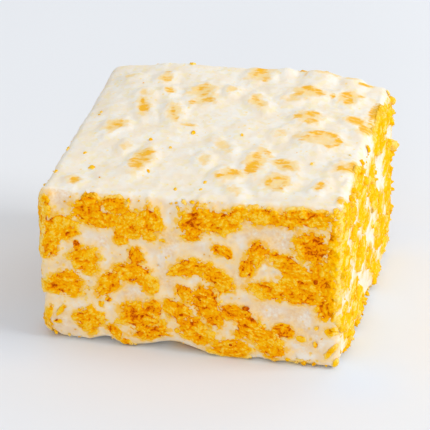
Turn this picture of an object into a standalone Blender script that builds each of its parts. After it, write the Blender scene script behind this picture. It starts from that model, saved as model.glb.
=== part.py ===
"""A square of marshmallow and crunchy corn cereal, cut from a slab with a knife.

The square is one solid: a soft block of marshmallow with the nuggets of cereal
that show on its sides and its top fused on. Units are metres and +Z is up. The
origin is in the middle of the underside. The named sizes below are in millimetres.
"""

import math
import random
from typing import NamedTuple

import bmesh
import bpy
from mathutils import Vector, noise

MM = 0.001
NAME = "crispy_treat"

# The block, before its top and its lower rim are made uneven.
WIDTH = 76.0
DEPTH = 70.0
HEIGHT = 44.0
EDGE_RADIUS = 2.6
CORE_CUTS = 9

# Heights of the four upper corners: the slab was thinner towards its front left.
HEIGHT_FRONT_LEFT = 42.2
HEIGHT_FRONT_RIGHT = 45.0
HEIGHT_BACK_LEFT = 46.4
HEIGHT_BACK_RIGHT = 46.8

# The upper face swells between its left and right edges, the more the nearer the back.
TOP_SWELL = 3.5
TOP_SWELL_SHARPNESS = 4

# How far the front leans out, the sides bulge, and the top goes up and down.
FRONT_LEAN = 1.2
SIDE_BULGE = 0.7
TOP_LUMP = 0.55
TOP_LUMP_LENGTH = 11.0

# The underside is flat inside this band, which widens midway along each side. The rim is just
# clear of the table, and in places more.
RIM_BAND = 6.6
RIM_BAND_BOW = 4.0
RIM_HEIGHT = 7.0
LEAST_RIM_LIFT = 0.15
SIDE_RIM_LIFT = 0.7
SIDE_RIM_WAVE = 30.0

# Nothing reaches further out than this, so that the origin stays in the middle.
REACH_X = 39.4
REACH_Y = 36.8

# Nuggets of cereal: how far they stand out of each kind of face, how thick they are as a
# share of their lesser side, how deep their middles lie as a share of that thickness, how
# flat a knife leaves them, how knobbly they are, and from what size they get more facets.
PROUD_SIDE = 0.85
PROUD_TOP = 0.55
THICKNESS_SHARE = 0.36
LEAST_THICKNESS = 1.5
MIDDLE_DEPTH = 0.6
CUT_FLATNESS = 0.15
KNOB_DEPTH = 0.34
KNOB_PITCH = 1.7
SPREAD = 1.1
LARGE_NUGGET = 9.4

# The fused solid's points closer than this are one, and flatter edges than this go.
MERGE_DISTANCE = 0.02
DULL_ANGLE = math.radians(2.0)


class Nugget(NamedTuple):
    """A nugget on a face: where its middle is, how wide and high it is, and its turn."""

    across: float
    up: float
    width: float
    height: float
    turn: float = 0.0


class Hump(NamedTuple):
    """A place where the front's lower rim lifts: how high, where, and half how wide."""

    height: float
    across: float
    half_width: float


class Face(NamedTuple):
    """A face of the block: its axes across, up and out, and the extents of each."""

    across: Vector
    up: Vector
    out: Vector
    half_width: float
    low: float
    high: float
    distance: float
    proud: float


FACES = {
    "front": Face(
        Vector((1, 0, 0)), Vector((0, 0, 1)), Vector((0, -1, 0)),
        WIDTH / 2, 0.0, HEIGHT, DEPTH / 2, PROUD_SIDE,
    ),
    "right": Face(
        Vector((0, 1, 0)), Vector((0, 0, 1)), Vector((1, 0, 0)),
        DEPTH / 2, 0.0, HEIGHT, WIDTH / 2, PROUD_SIDE,
    ),
    "back": Face(
        Vector((-1, 0, 0)), Vector((0, 0, 1)), Vector((0, 1, 0)),
        WIDTH / 2, 0.0, HEIGHT, DEPTH / 2, PROUD_SIDE,
    ),
    "left": Face(
        Vector((0, -1, 0)), Vector((0, 0, 1)), Vector((-1, 0, 0)),
        DEPTH / 2, 0.0, HEIGHT, WIDTH / 2, PROUD_SIDE,
    ),
    "top": Face(
        Vector((1, 0, 0)), Vector((0, 1, 0)), Vector((0, 0, 1)),
        WIDTH / 2, -DEPTH / 2, DEPTH / 2, HEIGHT, PROUD_TOP,
    ),
}

RIM_HUMPS = (
    Hump(2.1, -4.5, 9.5),
    Hump(1.3, -22.0, 5.0),
    Hump(2.0, -38.0, 5.0),
)

# The cut front: the row under the top edge, then the middle and the foot of the face.
FRONT_NUGGETS = (
    Nugget(-37.0, 40.0, 3.4, 6.6, 5),
    Nugget(-33.8, 33.6, 8.8, 8.0, 10),
    Nugget(-35.8, 28.0, 4.4, 5.2, -10),
    Nugget(-25.0, 41.0, 8.6, 6.0, 10),
    Nugget(-17.9, 41.8, 5.6, 5.4, 0),
    Nugget(-25.6, 37.4, 8.6, 4.4, 0),
    Nugget(-20.0, 36.2, 8.4, 6.6, -10),
    Nugget(-14.0, 37.8, 6.2, 7.4, 0),
    Nugget(-9.2, 38.8, 5.8, 10.8, 0),
    Nugget(-17.0, 32.8, 3.6, 4.4, 0),
    Nugget(1.6, 39.2, 7.2, 9.8, 5),
    Nugget(8.4, 38.2, 8.6, 6.2, 10),
    Nugget(12.6, 41.2, 5.0, 3.8, 20),
    Nugget(19.6, 41.8, 10.2, 4.8, -4),
    Nugget(31.0, 41.8, 11.8, 4.2, 0),
    Nugget(31.4, 33.8, 8.0, 8.8, 0),
    Nugget(36.8, 36.0, 3.4, 9.0, 0),
    Nugget(24.6, 29.2, 9.4, 3.6, -24),
    Nugget(27.4, 25.2, 7.6, 6.2, -10),
    Nugget(33.6, 25.0, 6.4, 9.6, 0),
    Nugget(20.2, 20.9, 10.4, 4.8, -3),
    Nugget(28.8, 20.4, 9.4, 4.6, 0),
    Nugget(34.6, 17.6, 5.0, 6.4, 10),
    Nugget(17.2, 31.0, 4.6, 6.8, -25),
    Nugget(15.4, 27.4, 3.8, 5.4, -15),
    Nugget(8.8, 30.8, 3.8, 4.4, 20),
    Nugget(-12.9, 27.2, 3.8, 4.8, 10),
    Nugget(-26.4, 24.4, 7.4, 7.6, 20),
    Nugget(-32.4, 17.4, 10.4, 6.6, 5),
    Nugget(-20.0, 18.6, 5.0, 9.6, -38),
    Nugget(-14.2, 22.6, 8.4, 5.0, 5),
    Nugget(-10.2, 20.0, 4.4, 7.0, 25),
    Nugget(0.6, 25.6, 8.8, 4.6, 10),
    Nugget(7.8, 23.4, 8.4, 4.4, -24),
    Nugget(4.4, 16.6, 6.8, 7.6, 10),
    Nugget(-0.8, 18.4, 4.4, 4.4, 0),
    Nugget(7.2, 12.4, 4.6, 6.0, 0),
    Nugget(-2.6, 12.6, 7.0, 5.0, -20),
    Nugget(1.8, 7.4, 8.0, 7.0, 0),
    Nugget(12.2, 13.0, 7.2, 4.6, -5),
    Nugget(16.0, 9.0, 9.4, 6.2, -40),
    Nugget(21.4, 5.0, 8.2, 5.2, -35),
    Nugget(10.6, 2.8, 9.8, 5.4, 0),
    Nugget(25.0, 9.8, 5.0, 3.6, 0),
    Nugget(-13.0, 9.6, 10.0, 7.4, 5),
    Nugget(-10.2, 4.8, 9.6, 4.2, 8),
    Nugget(-25.8, 7.2, 8.2, 6.0, 18),
    Nugget(-19.2, 4.0, 2.8, 6.4, 35),
    Nugget(-37.4, 6.6, 2.0, 7.4, -22),
)

# The top, where most of each nugget lies just under the marshmallow.
TOP_NUGGETS = (
    Nugget(3.2, 31.6, 6.6, 5.4, 20),
    Nugget(19.6, 33.4, 9.6, 4.4, 0),
    Nugget(27.6, 33.6, 3.4, 4.0, -15),
    Nugget(-21.0, 24.2, 3.2, 3.6, 0),
    Nugget(-18.0, 18.2, 2.8, 4.0, 15),
    Nugget(-22.8, 9.2, 2.8, 7.8, 20),
    Nugget(-9.4, 18.0, 6.6, 7.4, 20),
    Nugget(-8.2, 13.4, 6.4, 3.2, 10),
    Nugget(5.8, 15.6, 2.6, 6.6, 25),
    Nugget(-13.8, 6.0, 2.6, 9.4, 16),
    Nugget(-27.4, -1.8, 5.0, 7.0, -20),
    Nugget(-16.4, -18.6, 4.8, 10.6, -10),
    Nugget(12.4, -14.8, 4.4, 14.6, 2),
    Nugget(19.4, -15.8, 8.0, 4.6, -35),
    Nugget(7.4, -22.6, 6.4, 4.8, 0),
    Nugget(19.8, -25.2, 7.0, 8.6, 0),
    Nugget(30.9, -24.8, 2.6, 5.0, -5),
    Nugget(35.0, -14.6, 5.2, 6.6, 0),
    Nugget(26.0, -0.8, 10.2, 7.2, 5),
    Nugget(32.8, 11.6, 5.0, 5.0, 0),
    Nugget(35.4, 8.4, 2.8, 5.4, 18),
    Nugget(21.6, 9.8, 5.6, 7.6, 0),
    Nugget(28.2, 22.8, 5.2, 6.6, 0),
    Nugget(18.8, 23.2, 7.0, 5.4, 0),
    Nugget(-30.4, -29.8, 2.8, 3.2, 0),
)

# The cut right side, which is nearly all cereal.
RIGHT_NUGGETS = (
    Nugget(-30.0, 41.6, 10.0, 6.0, -5),
    Nugget(-14.0, 41.4, 15.0, 6.0, -6),
    Nugget(10.0, 41.6, 14.0, 6.6, -5),
    Nugget(24.4, 40.2, 10.0, 6.4, -10),
    Nugget(-32.6, 35.4, 6.0, 6.6, 0),
    Nugget(-22.4, 36.2, 10.4, 6.2, -15),
    Nugget(-7.6, 36.8, 11.0, 6.4, -15),
    Nugget(3.6, 36.4, 10.0, 6.6, -15),
    Nugget(18.0, 36.6, 9.4, 5.4, -10),
    Nugget(-31.0, 28.0, 9.4, 5.8, -10),
    Nugget(-9.0, 30.6, 12.0, 5.6, -20),
    Nugget(4.4, 30.6, 10.6, 5.8, -20),
    Nugget(25.0, 29.4, 10.0, 7.4, -15),
    Nugget(-17.0, 25.4, 12.6, 6.0, -18),
    Nugget(-3.6, 25.8, 10.0, 4.4, -15),
    Nugget(9.2, 25.6, 8.6, 4.4, -20),
    Nugget(-28.4, 21.2, 12.4, 5.8, -10),
    Nugget(-10.0, 19.6, 12.4, 6.6, -10),
    Nugget(16.6, 20.0, 12.4, 7.0, -20),
    Nugget(28.8, 20.2, 8.4, 6.6, -20),
    Nugget(-31.8, 13.0, 8.4, 6.0, 0),
    Nugget(-19.0, 14.2, 12.0, 4.8, -10),
    Nugget(2.2, 13.4, 11.4, 5.6, -20),
    Nugget(18.4, 12.0, 13.4, 6.6, -20),
    Nugget(30.4, 11.0, 8.0, 7.4, 0),
    Nugget(-14.0, 8.2, 13.0, 6.4, -15),
    Nugget(-26.0, 8.0, 9.6, 5.0, 0),
    Nugget(9.6, 7.2, 12.0, 5.2, -18),
    Nugget(27.0, 4.6, 12.4, 5.8, -10),
    Nugget(-22.6, 3.2, 11.0, 4.4, 0),
    Nugget(-8.0, 3.2, 9.0, 4.4, -10),
    Nugget(14.6, 2.8, 8.4, 4.0, 0),
)

# The faces that are out of sight get their nuggets by a rule: how many, and the seed.
SCATTERED = {"left": (26, 11), "back": (28, 23)}
SCATTER_TRIES = 900
SCATTER_MARGIN = 1.0
SCATTER_SPACING = 0.66
SCATTER_GAP = 1.0
SCATTER_WIDTHS = (5.0, 12.5)
SCATTER_HEIGHTS = (4.2, 8.6)
SCATTER_TURNS = (-50.0, 50.0)


def clamp(value, low, high):
    """The value held between two limits."""
    return min(high, max(low, value))


def smooth(value):
    """0 to 1 with a soft start and end."""
    t = clamp(value, 0.0, 1.0)
    return t * t * (3.0 - 2.0 * t)


def top_height(x, y):
    """The height of the upper face at a place, from its four corners and its swelling."""
    u = clamp(x / WIDTH + 0.5, 0.0, 1.0)
    v = clamp(y / DEPTH + 0.5, 0.0, 1.0)
    front = HEIGHT_FRONT_LEFT + (HEIGHT_FRONT_RIGHT - HEIGHT_FRONT_LEFT) * u
    back = HEIGHT_BACK_LEFT + (HEIGHT_BACK_RIGHT - HEIGHT_BACK_LEFT) * u
    return front + (back - front) * v + TOP_SWELL * v * (1.0 - (2.0 * u - 1.0) ** TOP_SWELL_SHARPNESS)


def band_share(inward, along):
    """0 to 1 across the rim's band, at a distance from a side's edge and a share along the side."""
    band = RIM_BAND + RIM_BAND_BOW * (1.0 - min(1.0, along) ** 2)
    return smooth((band - inward) / band)


def rim_lift(x, y):
    """How far the lower rim stands off the table at a place near it."""
    along_x = abs(x) / (WIDTH / 2 - RIM_BAND)
    along_y = abs(y) / (DEPTH / 2 - RIM_BAND)
    front = sum(
        hump.height * smooth(1.0 - abs(x - hump.across) / hump.half_width) for hump in RIM_HUMPS
    )
    turn = 2.0 * math.pi * (x + y) / SIDE_RIM_WAVE
    sides = SIDE_RIM_LIFT * (1.0 + math.sin(turn))
    in_front = band_share(DEPTH / 2 + y, along_x)
    elsewhere = max(
        band_share(WIDTH / 2 - abs(x), along_y),
        band_share(DEPTH / 2 - y, along_x),
    )
    uneven = front * in_front + sides * elsewhere * (1.0 - in_front)
    return max(uneven, LEAST_RIM_LIFT * max(in_front, elsewhere))


def settle(point):
    """Moves a point of the true box to where it lies in the uneven, settled block."""
    x, y, z = point
    share = clamp(z / HEIGHT, 0.0, 1.2)
    lump = TOP_LUMP * noise.noise(Vector((x, y, 0.0)) / TOP_LUMP_LENGTH)
    z = z * top_height(x, y) / HEIGHT + lump * share ** 4
    lift = rim_lift(x, y)
    z += lift * smooth(1.0 - z / RIM_HEIGHT)
    belly = SIDE_BULGE * math.sin(math.pi * clamp(share, 0.0, 1.0))
    x += belly * clamp(2.0 * x / WIDTH, -1.0, 1.0)
    y += belly * clamp(2.0 * y / DEPTH, -1.0, 1.0)
    y -= FRONT_LEAN * (share - 0.5) * smooth(0.5 - y / DEPTH)
    lowest = min(lift, LEAST_RIM_LIFT)
    return Vector((clamp(x, -REACH_X, REACH_X), clamp(y, -REACH_Y, REACH_Y), max(z, lowest)))


def trimmed(point, proud=0.0, flatness=0.0):
    """Brings a point that lies outside the rounded box to its skin, or to just proud of it.

    A flatness above 0 leaves that share of the excess, as a crumbly cut does.
    """
    half = Vector((WIDTH / 2, DEPTH / 2, HEIGHT / 2))
    centre = Vector((0, 0, HEIGHT / 2))
    inner = centre + Vector(
        clamp(value, EDGE_RADIUS - side, side - EDGE_RADIUS)
        for value, side in zip(point - centre, half)
    )
    away = point - inner
    limit = EDGE_RADIUS + proud
    if away.length <= limit:
        return point
    return inner + away.normalized() * (limit + flatness * (away.length - limit))


def marshmallow_block():
    """The block without its cereal: a cube cut into a grid, rounded and settled."""
    shape = bmesh.new()
    bmesh.ops.create_cube(shape, size=2.0)
    bmesh.ops.subdivide_edges(shape, edges=shape.edges[:], cuts=CORE_CUTS, use_grid_fill=True)
    half = Vector((WIDTH / 2, DEPTH / 2, HEIGHT / 2))
    for vert in shape.verts:
        # Sines crowd the grid's lines towards the edges, where the rounding is.
        spread = Vector(math.sin(value * math.pi / 2) * side for value, side in zip(vert.co, half))
        vert.co = settle(trimmed(spread + Vector((0, 0, HEIGHT / 2)))) * MM
    return finished_object(NAME, shape, "marshmallow")


def nugget_on(face, nugget, number):
    """A knobbly nugget of cereal that a knife or the marshmallow has left flush with a face."""
    large = max(nugget.width, nugget.height) >= LARGE_NUGGET
    shape = bmesh.new()
    bmesh.ops.create_icosphere(shape, subdivisions=2 if large else 1, radius=1.0)
    thickness = max(LEAST_THICKNESS, THICKNESS_SHARE * min(nugget.width, nugget.height))
    turn = math.radians(nugget.turn)
    middle = face.distance + face.proud - MIDDLE_DEPTH * thickness
    for vert in shape.verts:
        # Every nugget takes its knobs from another place in the noise.
        lumpy = 1.0 + KNOB_DEPTH * noise.noise(vert.co * KNOB_PITCH + Vector((math.pi * number, 0.0, 0.0)))
        across = vert.co.x * nugget.width / 2 * SPREAD * lumpy
        up = vert.co.y * nugget.height / 2 * SPREAD * lumpy
        place = (
            face.across * (nugget.across + across * math.cos(turn) - up * math.sin(turn))
            + face.up * (nugget.up + across * math.sin(turn) + up * math.cos(turn))
            + face.out * (middle + vert.co.z * thickness * lumpy)
        )
        vert.co = settle(trimmed(place, face.proud, CUT_FLATNESS)) * MM
    return finished_object(f"nugget_{number:03d}", shape, "cereal")


def scattered_nuggets(face, count, seed):
    """Nuggets spread over a face by seeded chance, each clear of most of its neighbours."""
    draw = random.Random(seed)
    found = []
    for _ in range(SCATTER_TRIES):
        if len(found) == count:
            break
        width = draw.uniform(*SCATTER_WIDTHS)
        height = draw.uniform(*SCATTER_HEIGHTS)
        across = draw.uniform(SCATTER_MARGIN - face.half_width, face.half_width - SCATTER_MARGIN)
        up = draw.uniform(face.low + SCATTER_MARGIN, face.high - SCATTER_MARGIN)
        turn = draw.uniform(*SCATTER_TURNS)
        radius = (width + height) / 4
        clear = all(
            math.hypot(across - other.across, up - other.up)
            > SCATTER_SPACING * (radius + (other.width + other.height) / 4) + SCATTER_GAP
            for other in found
        )
        if clear:
            found.append(Nugget(across, up, width, height, turn))
    return found


def material(name):
    """The finish of the marshmallow or of the cereal, made once."""
    found = bpy.data.materials.get(name)
    if found:
        return found
    colour, roughness = {
        "marshmallow": ((0.86, 0.80, 0.68, 1.0), 0.5),
        "cereal": ((0.90, 0.42, 0.03, 1.0), 0.8),
    }[name]
    made = bpy.data.materials.new(name)
    made.use_nodes = True
    shader = made.node_tree.nodes["Principled BSDF"]
    shader.inputs["Base Color"].default_value = colour
    shader.inputs["Roughness"].default_value = roughness
    shader.inputs["Metallic"].default_value = 0.0
    made.diffuse_color = colour
    return made


def finished_object(name, shape, finish):
    """Turns a bmesh into an object with one finish, its faces pointing out."""
    bmesh.ops.recalc_face_normals(shape, faces=shape.faces[:])
    mesh = bpy.data.meshes.new(name)
    shape.to_mesh(mesh)
    shape.free()
    mesh.materials.append(material(finish))
    return bpy.data.objects.new(name, mesh)


def shells_of(shape):
    """The separate closed shells of a mesh, each as a list of faces."""
    waiting = set(shape.faces)
    shells = []
    while waiting:
        front = [waiting.pop()]
        shell = []
        while front:
            face = front.pop()
            shell.append(face)
            for edge in face.edges:
                for neighbour in edge.link_faces:
                    if neighbour in waiting:
                        waiting.discard(neighbour)
                        front.append(neighbour)
        shells.append(shell)
    return shells


def keep_outer_shell(mesh):
    """Fills hollows that the union has sealed, drops loose scraps and dissolves dull edges."""
    shape = bmesh.new()
    shape.from_mesh(mesh)
    bmesh.ops.remove_doubles(shape, verts=shape.verts[:], dist=MERGE_DISTANCE * MM)
    bmesh.ops.dissolve_degenerate(shape, edges=shape.edges[:], dist=MERGE_DISTANCE * MM)
    shells = sorted(shells_of(shape), key=len)
    scraps = [face for shell in shells[:-1] for face in shell]
    bmesh.ops.delete(shape, geom=scraps, context="FACES")
    bmesh.ops.dissolve_limit(
        shape, angle_limit=DULL_ANGLE, verts=shape.verts[:], edges=shape.edges[:], delimit={"MATERIAL"}
    )
    bmesh.ops.triangulate(shape, faces=shape.faces[:])
    shape.to_mesh(mesh)
    shape.free()


def fuse(block, nuggets):
    """Joins the nuggets to the block with one union, and removes them."""
    group = bpy.data.collections.new("nuggets")
    for nugget in nuggets:
        group.objects.link(nugget)
    union = block.modifiers.new("fuse_nuggets", "BOOLEAN")
    union.operation = "UNION"
    union.operand_type = "COLLECTION"
    union.collection = group
    union.solver = "EXACT"
    union.material_mode = "TRANSFER"
    bpy.context.view_layer.update()
    graph = bpy.context.evaluated_depsgraph_get()
    fused = bpy.data.meshes.new_from_object(block.evaluated_get(graph), depsgraph=graph)
    block.modifiers.clear()
    block.data = fused
    fused.name = NAME
    for nugget in nuggets:
        bpy.data.objects.remove(nugget)
    bpy.data.collections.remove(group)
    keep_outer_shell(fused)


def main():
    """Clears the scene and builds the treat."""
    for obj in list(bpy.data.objects):
        bpy.data.objects.remove(obj)
    treat = bpy.data.collections.new(NAME)
    bpy.context.scene.collection.children.link(treat)

    layout = {"front": FRONT_NUGGETS, "top": TOP_NUGGETS, "right": RIGHT_NUGGETS}
    for side, (count, seed) in SCATTERED.items():
        layout[side] = scattered_nuggets(FACES[side], count, seed)
    placed = [(FACES[side], nugget) for side, nuggets in layout.items() for nugget in nuggets]

    block = marshmallow_block()
    treat.objects.link(block)
    fuse(block, [nugget_on(face, nugget, number) for number, (face, nugget) in enumerate(placed)])


main()
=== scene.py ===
"""Looks of a square of marshmallow and crunchy corn cereal.

Shapes are worked out in millimetres on a true box and then carried to the uneven, settled
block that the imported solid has. The pieces are the marshmallow, the cereal on each side,
and the crumbs.
"""

from __future__ import annotations

import itertools
import logging
import math
import random
from dataclasses import dataclass, field
from enum import Enum, IntEnum

import bmesh
import bpy
import numpy as np
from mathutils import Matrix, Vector


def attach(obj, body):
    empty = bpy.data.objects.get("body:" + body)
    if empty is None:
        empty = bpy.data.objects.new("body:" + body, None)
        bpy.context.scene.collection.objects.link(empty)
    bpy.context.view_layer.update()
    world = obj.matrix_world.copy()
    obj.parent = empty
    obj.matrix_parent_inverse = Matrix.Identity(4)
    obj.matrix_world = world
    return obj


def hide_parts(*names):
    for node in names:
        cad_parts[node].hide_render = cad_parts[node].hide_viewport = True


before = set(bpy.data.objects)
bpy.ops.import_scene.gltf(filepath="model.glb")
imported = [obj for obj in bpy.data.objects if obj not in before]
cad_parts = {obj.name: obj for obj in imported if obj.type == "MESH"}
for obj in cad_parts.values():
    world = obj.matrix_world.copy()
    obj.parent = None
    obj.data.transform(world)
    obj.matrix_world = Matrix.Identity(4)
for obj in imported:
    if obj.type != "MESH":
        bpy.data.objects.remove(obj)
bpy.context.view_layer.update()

log = logging.getLogger("crispy_treat")

MM = 0.001
NODE = "crispy_treat"

Array = np.ndarray
Material = bpy.types.Material
Socket = bpy.types.NodeSocket
Colour = tuple[float, float, float]
Place = tuple[float, float, float]
Source = Socket | float | Colour
Span = Array | float


class Side(Enum):
    """A side of the block, with its axes across, up and out."""

    FRONT = ((1, 0, 0), (0, 0, 1), (0, -1, 0))
    RIGHT = ((0, 1, 0), (0, 0, 1), (1, 0, 0))
    BACK = ((-1, 0, 0), (0, 0, 1), (0, 1, 0))
    LEFT = ((0, -1, 0), (0, 0, 1), (-1, 0, 0))
    TOP = ((1, 0, 0), (0, 1, 0), (0, 0, 1))
    BASE = ((1, 0, 0), (0, -1, 0), (0, 0, -1))

    @property
    def axes(self) -> Array:
        """The three axes as rows."""
        return np.array(self.value, float)


def turned(x: Span, y: Span, angle: float) -> tuple[Span, Span]:
    """Places on a plane, turned by an angle in radians."""
    cosine, sine = math.cos(angle), math.sin(angle)
    return x * cosine - y * sine, x * sine + y * cosine


@dataclass(frozen=True)
class Nugget:
    """A nugget of cereal on a side of the block, in millimetres and degrees.

    shown is how far it has come through the marshmallow: 1 is bare, 0 is just under it.
    """

    STRIDES = (1009, 9176)
    NUMBERS = 60013

    across: float
    up: float
    width: float
    height: float
    turn: float = 0.0
    shown: float = 1.0

    @property
    def number(self) -> int:
        """A whole number of its own, from its place."""
        steps = (round(self.across * 10), round(self.up * 10))
        return sum(step * stride for step, stride in zip(steps, self.STRIDES)) % self.NUMBERS + 1

    @property
    def least(self) -> float:
        """Its smaller size."""
        return min(self.width, self.height)

    def local(self, across: Array, up: Array) -> tuple[Array, Array]:
        """How far along its width and its height places of the side are."""
        return turned(across - self.across, up - self.up, -math.radians(self.turn))

    def placed(self, along: Span, beside: Span) -> tuple[Span, Span]:
        """Where on the side places are that lie so far along its width and its height."""
        across, up = turned(along, beside, math.radians(self.turn))
        return self.across + across, self.up + up

    def radius(self, across: Array, up: Array) -> Array:
        """How far out from its middle places of the side are, 1 at its plain edge."""
        along, beside = self.local(across, up)
        return np.hypot(along / (self.width / 2), beside / (self.height / 2))


Nuggets = tuple[Nugget, ...]


def nuggets(*rows: tuple[float, ...]) -> Nuggets:
    """Nuggets from rows of their values: across, up, width, height, turn and shown."""
    return tuple(Nugget(*row) for row in rows)


@dataclass(frozen=True)
class Spot:
    """A round patch on a side: where its middle is and how far it reaches, in millimetres."""

    across: float
    up: float
    reach: float


FRONT_NUGGETS = nuggets(
    (-36.6, 39.6, 3.0, 5.2, 5), (-32.6, 34.2, 8.8, 7.2, 12), (-35.4, 28.6, 4.6, 7.4, -8),
    (-25.6, 39.6, 8.8, 7.0, 6), (-18.2, 41.0, 6.6, 4.8), (-21.0, 37.0, 9.6, 5.2, -6),
    (-14.6, 36.2, 7.0, 7.6), (-9.8, 37.4, 7.0, 8.6), (-17.2, 32.4, 3.4, 4.6), (1.8, 37.8, 8.4, 8.0, 5),
    (8.0, 38.2, 10.4, 6.6, 12), (12.6, 40.8, 5.0, 3.8, 20), (19.8, 40.8, 11.8, 4.8, -6),
    (30.6, 41.0, 13.4, 4.4), (31.0, 33.6, 9.4, 8.8), (36.8, 34.0, 4.2, 12.0),
    (24.8, 28.8, 10.6, 4.6, -25), (28.2, 24.2, 9.6, 8.0, -10), (33.8, 25.6, 7.0, 10.6),
    (20.4, 20.9, 11.4, 5.4, -4), (29.4, 20.4, 9.6, 5.4), (34.8, 18.2, 5.6, 8.0, 10),
    (17.2, 30.6, 5.0, 7.6, -25), (15.2, 26.8, 4.0, 5.6, -15), (7.6, 31.0, 2.8, 3.0, 10),
    (9.8, 30.4, 2.6, 3.8, 30), (-13.2, 27.4, 4.4, 5.2, 10), (-26.2, 24.8, 7.8, 8.6, 20),
    (-32.2, 17.4, 10.6, 7.4, 5), (-20.2, 18.8, 5.4, 10.2, -38), (-14.4, 22.6, 9.0, 5.8, 3),
    (-10.4, 20.2, 5.0, 7.8, 25), (0.2, 25.3, 9.2, 5.0, 12), (7.2, 23.3, 9.6, 5.0, -27),
    (4.4, 16.4, 8.0, 8.8, -20), (-1.0, 18.2, 4.6, 4.8), (6.4, 11.6, 5.0, 6.4),
    (-2.8, 12.6, 7.2, 6.6, -20), (1.6, 7.2, 9.0, 7.6), (11.8, 13.6, 7.6, 4.8, -5),
    (15.6, 9.8, 9.6, 7.0, -40), (20.6, 5.6, 9.2, 6.6, -35), (10.6, 2.9, 10.8, 5.6), (24.2, 9.8, 5.6, 4.0),
    (-13.2, 9.8, 10.6, 8.2, 5), (-10.0, 5.0, 9.8, 5.0, 8), (-9.2, 12.8, 4.4, 4.8),
    (-26.0, 7.4, 8.4, 6.8, 20), (-19.4, 4.2, 3.4, 5.6, 35), (-37.4, 6.4, 2.0, 8.4, -22),
)

FRONT_FRAGMENTS = nuggets(
    (25.8, 39.2, 3.2, 2.6), (-9.6, 33.4, 3.6, 3.0), (0.8, 33.8, 5.6, 2.2, 0, 0.7),
    (-28.6, 29.4, 2.0, 2.2, 0, 0.8), (9.2, 20.0, 4.6, 2.0, -10, 0.7), (-3.8, 23.6, 3.0, 1.6, 20, 0.8),
    (28.6, 8.0, 2.6, 1.8, -20, 0.7), (32.2, 6.8, 1.0, 1.6), (32.4, 11.4, 1.0, 0.9),
    (36.0, 10.8, 3.2, 2.2, 0, 0.7), (36.2, 5.2, 1.4, 4.4, -35, 0.8), (37.6, 1.9, 1.4, 2.2, -10),
    (-16.6, 1.3, 2.8, 2.0), (-33.4, 9.0, 1.3, 4.4, -30, 0.8), (-34.4, 5.3, 2.4, 1.3, 20, 0.6),
    (-6.8, 8.0, 2.4, 3.0, 0, 0.6), (-22.8, 12.2, 1.8, 2.6, 10, 0.4), (-6.4, 32.2, 2.2, 1.8, 0, 0.3),
    (12.8, 7.2, 2.8, 2.6, 0, 0.8), (22.4, 6.6, 3.4, 5.2, 0, 0.8), (-25.4, 3.2, 2.6, 2.6, 0, 0.7),
    (-20.8, 13.8, 2.0, 1.6, 30, 0.5), (37.2, 43.6, 1.6, 2.2, 0, 0.8), (-3.0, 6.4, 1.8, 2.0, 0, 0.6),
)

# Toasted flecks on the cut front.
FRONT_FLECKS = nuggets(
    (14.8, 15.4, 1.9, 1.2), (3.0, 16.6, 1.0, 0.5, -40), (32.3, 24.6, 1.1, 1.4, -20),
    (1.9, 39.2, 1.2, 0.6, 30), (-1.8, 11.6, 1.1, 0.8), (10.8, 4.2, 0.9, 0.6), (-34.6, 5.9, 0.9, 0.5, 30),
)

TOP_NUGGETS = nuggets(
    (3.4, 30.6, 7.4, 7.4, 20, 0.5), (20.0, 34.0, 9.6, 4.4, 0, 0.4), (27.8, 33.8, 4.0, 4.6, -15, 0.5),
    (-20.8, 24.6, 4.2, 5.0, 0, 0.5), (-18.0, 18.0, 3.2, 4.4, 15, 0.5), (-22.8, 8.8, 3.6, 8.4, 20, 0.6),
    (-9.6, 18.4, 7.4, 7.6, 20, 0.55), (-8.4, 13.2, 6.8, 4.4, 10, 0.5), (6.0, 15.2, 4.2, 7.6, 25, 0.6),
    (-14.0, 5.6, 4.4, 9.6, 16, 0.45), (-27.6, -2.0, 5.8, 7.8, -20, 0.6),
    (-16.4, -18.6, 5.2, 10.8, -10, 0.7), (12.6, -15.0, 5.4, 14.8, 6, 0.6),
    (19.8, -15.8, 8.6, 5.4, -35, 0.6), (7.4, -22.6, 7.2, 5.4, 0, 0.55), (19.8, -25.2, 7.8, 8.8, 0, 0.5),
    (30.9, -24.8, 3.0, 5.6, -5, 0.5), (35.0, -14.6, 6.4, 7.4, 0, 0.55), (26.2, -1.0, 11.0, 7.8, 5, 0.55),
    (33.0, 11.2, 6.0, 5.8, 0, 0.7), (35.4, 8.2, 3.4, 6.2, 18, 0.7), (20.8, 9.4, 7.6, 7.6, 0, 0.45),
    (28.4, 22.8, 6.8, 7.2, 0, 0.55), (18.4, 22.8, 8.6, 5.8, 0, 0.45), (14.4, 19.0, 4.6, 4.6, 0, 0.35),
    (-30.4, -29.8, 4.0, 4.4, 0, 0.6), (-24.0, 15.6, 3.6, 2.8, 0, 0.4), (-30.4, 26.0, 3.6, 2.6, 0, 0.3),
    (-1.8, 20.0, 3.0, 3.6, 0, 0.4), (2.6, -8.4, 4.0, 8.4, 38, 0.25), (-0.4, -16.6, 3.4, 5.4, 10, 0.35),
    (-22.0, -12.4, 3.0, 3.8, 0, 0.35), (-8.6, 0.6, 5.2, 1.8, 0, 0.4), (15.6, 0.4, 3.6, 5.4, -20, 0.2),
    (10.6, -30.0, 3.0, 5.0, 30, 0.35),
)

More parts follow.
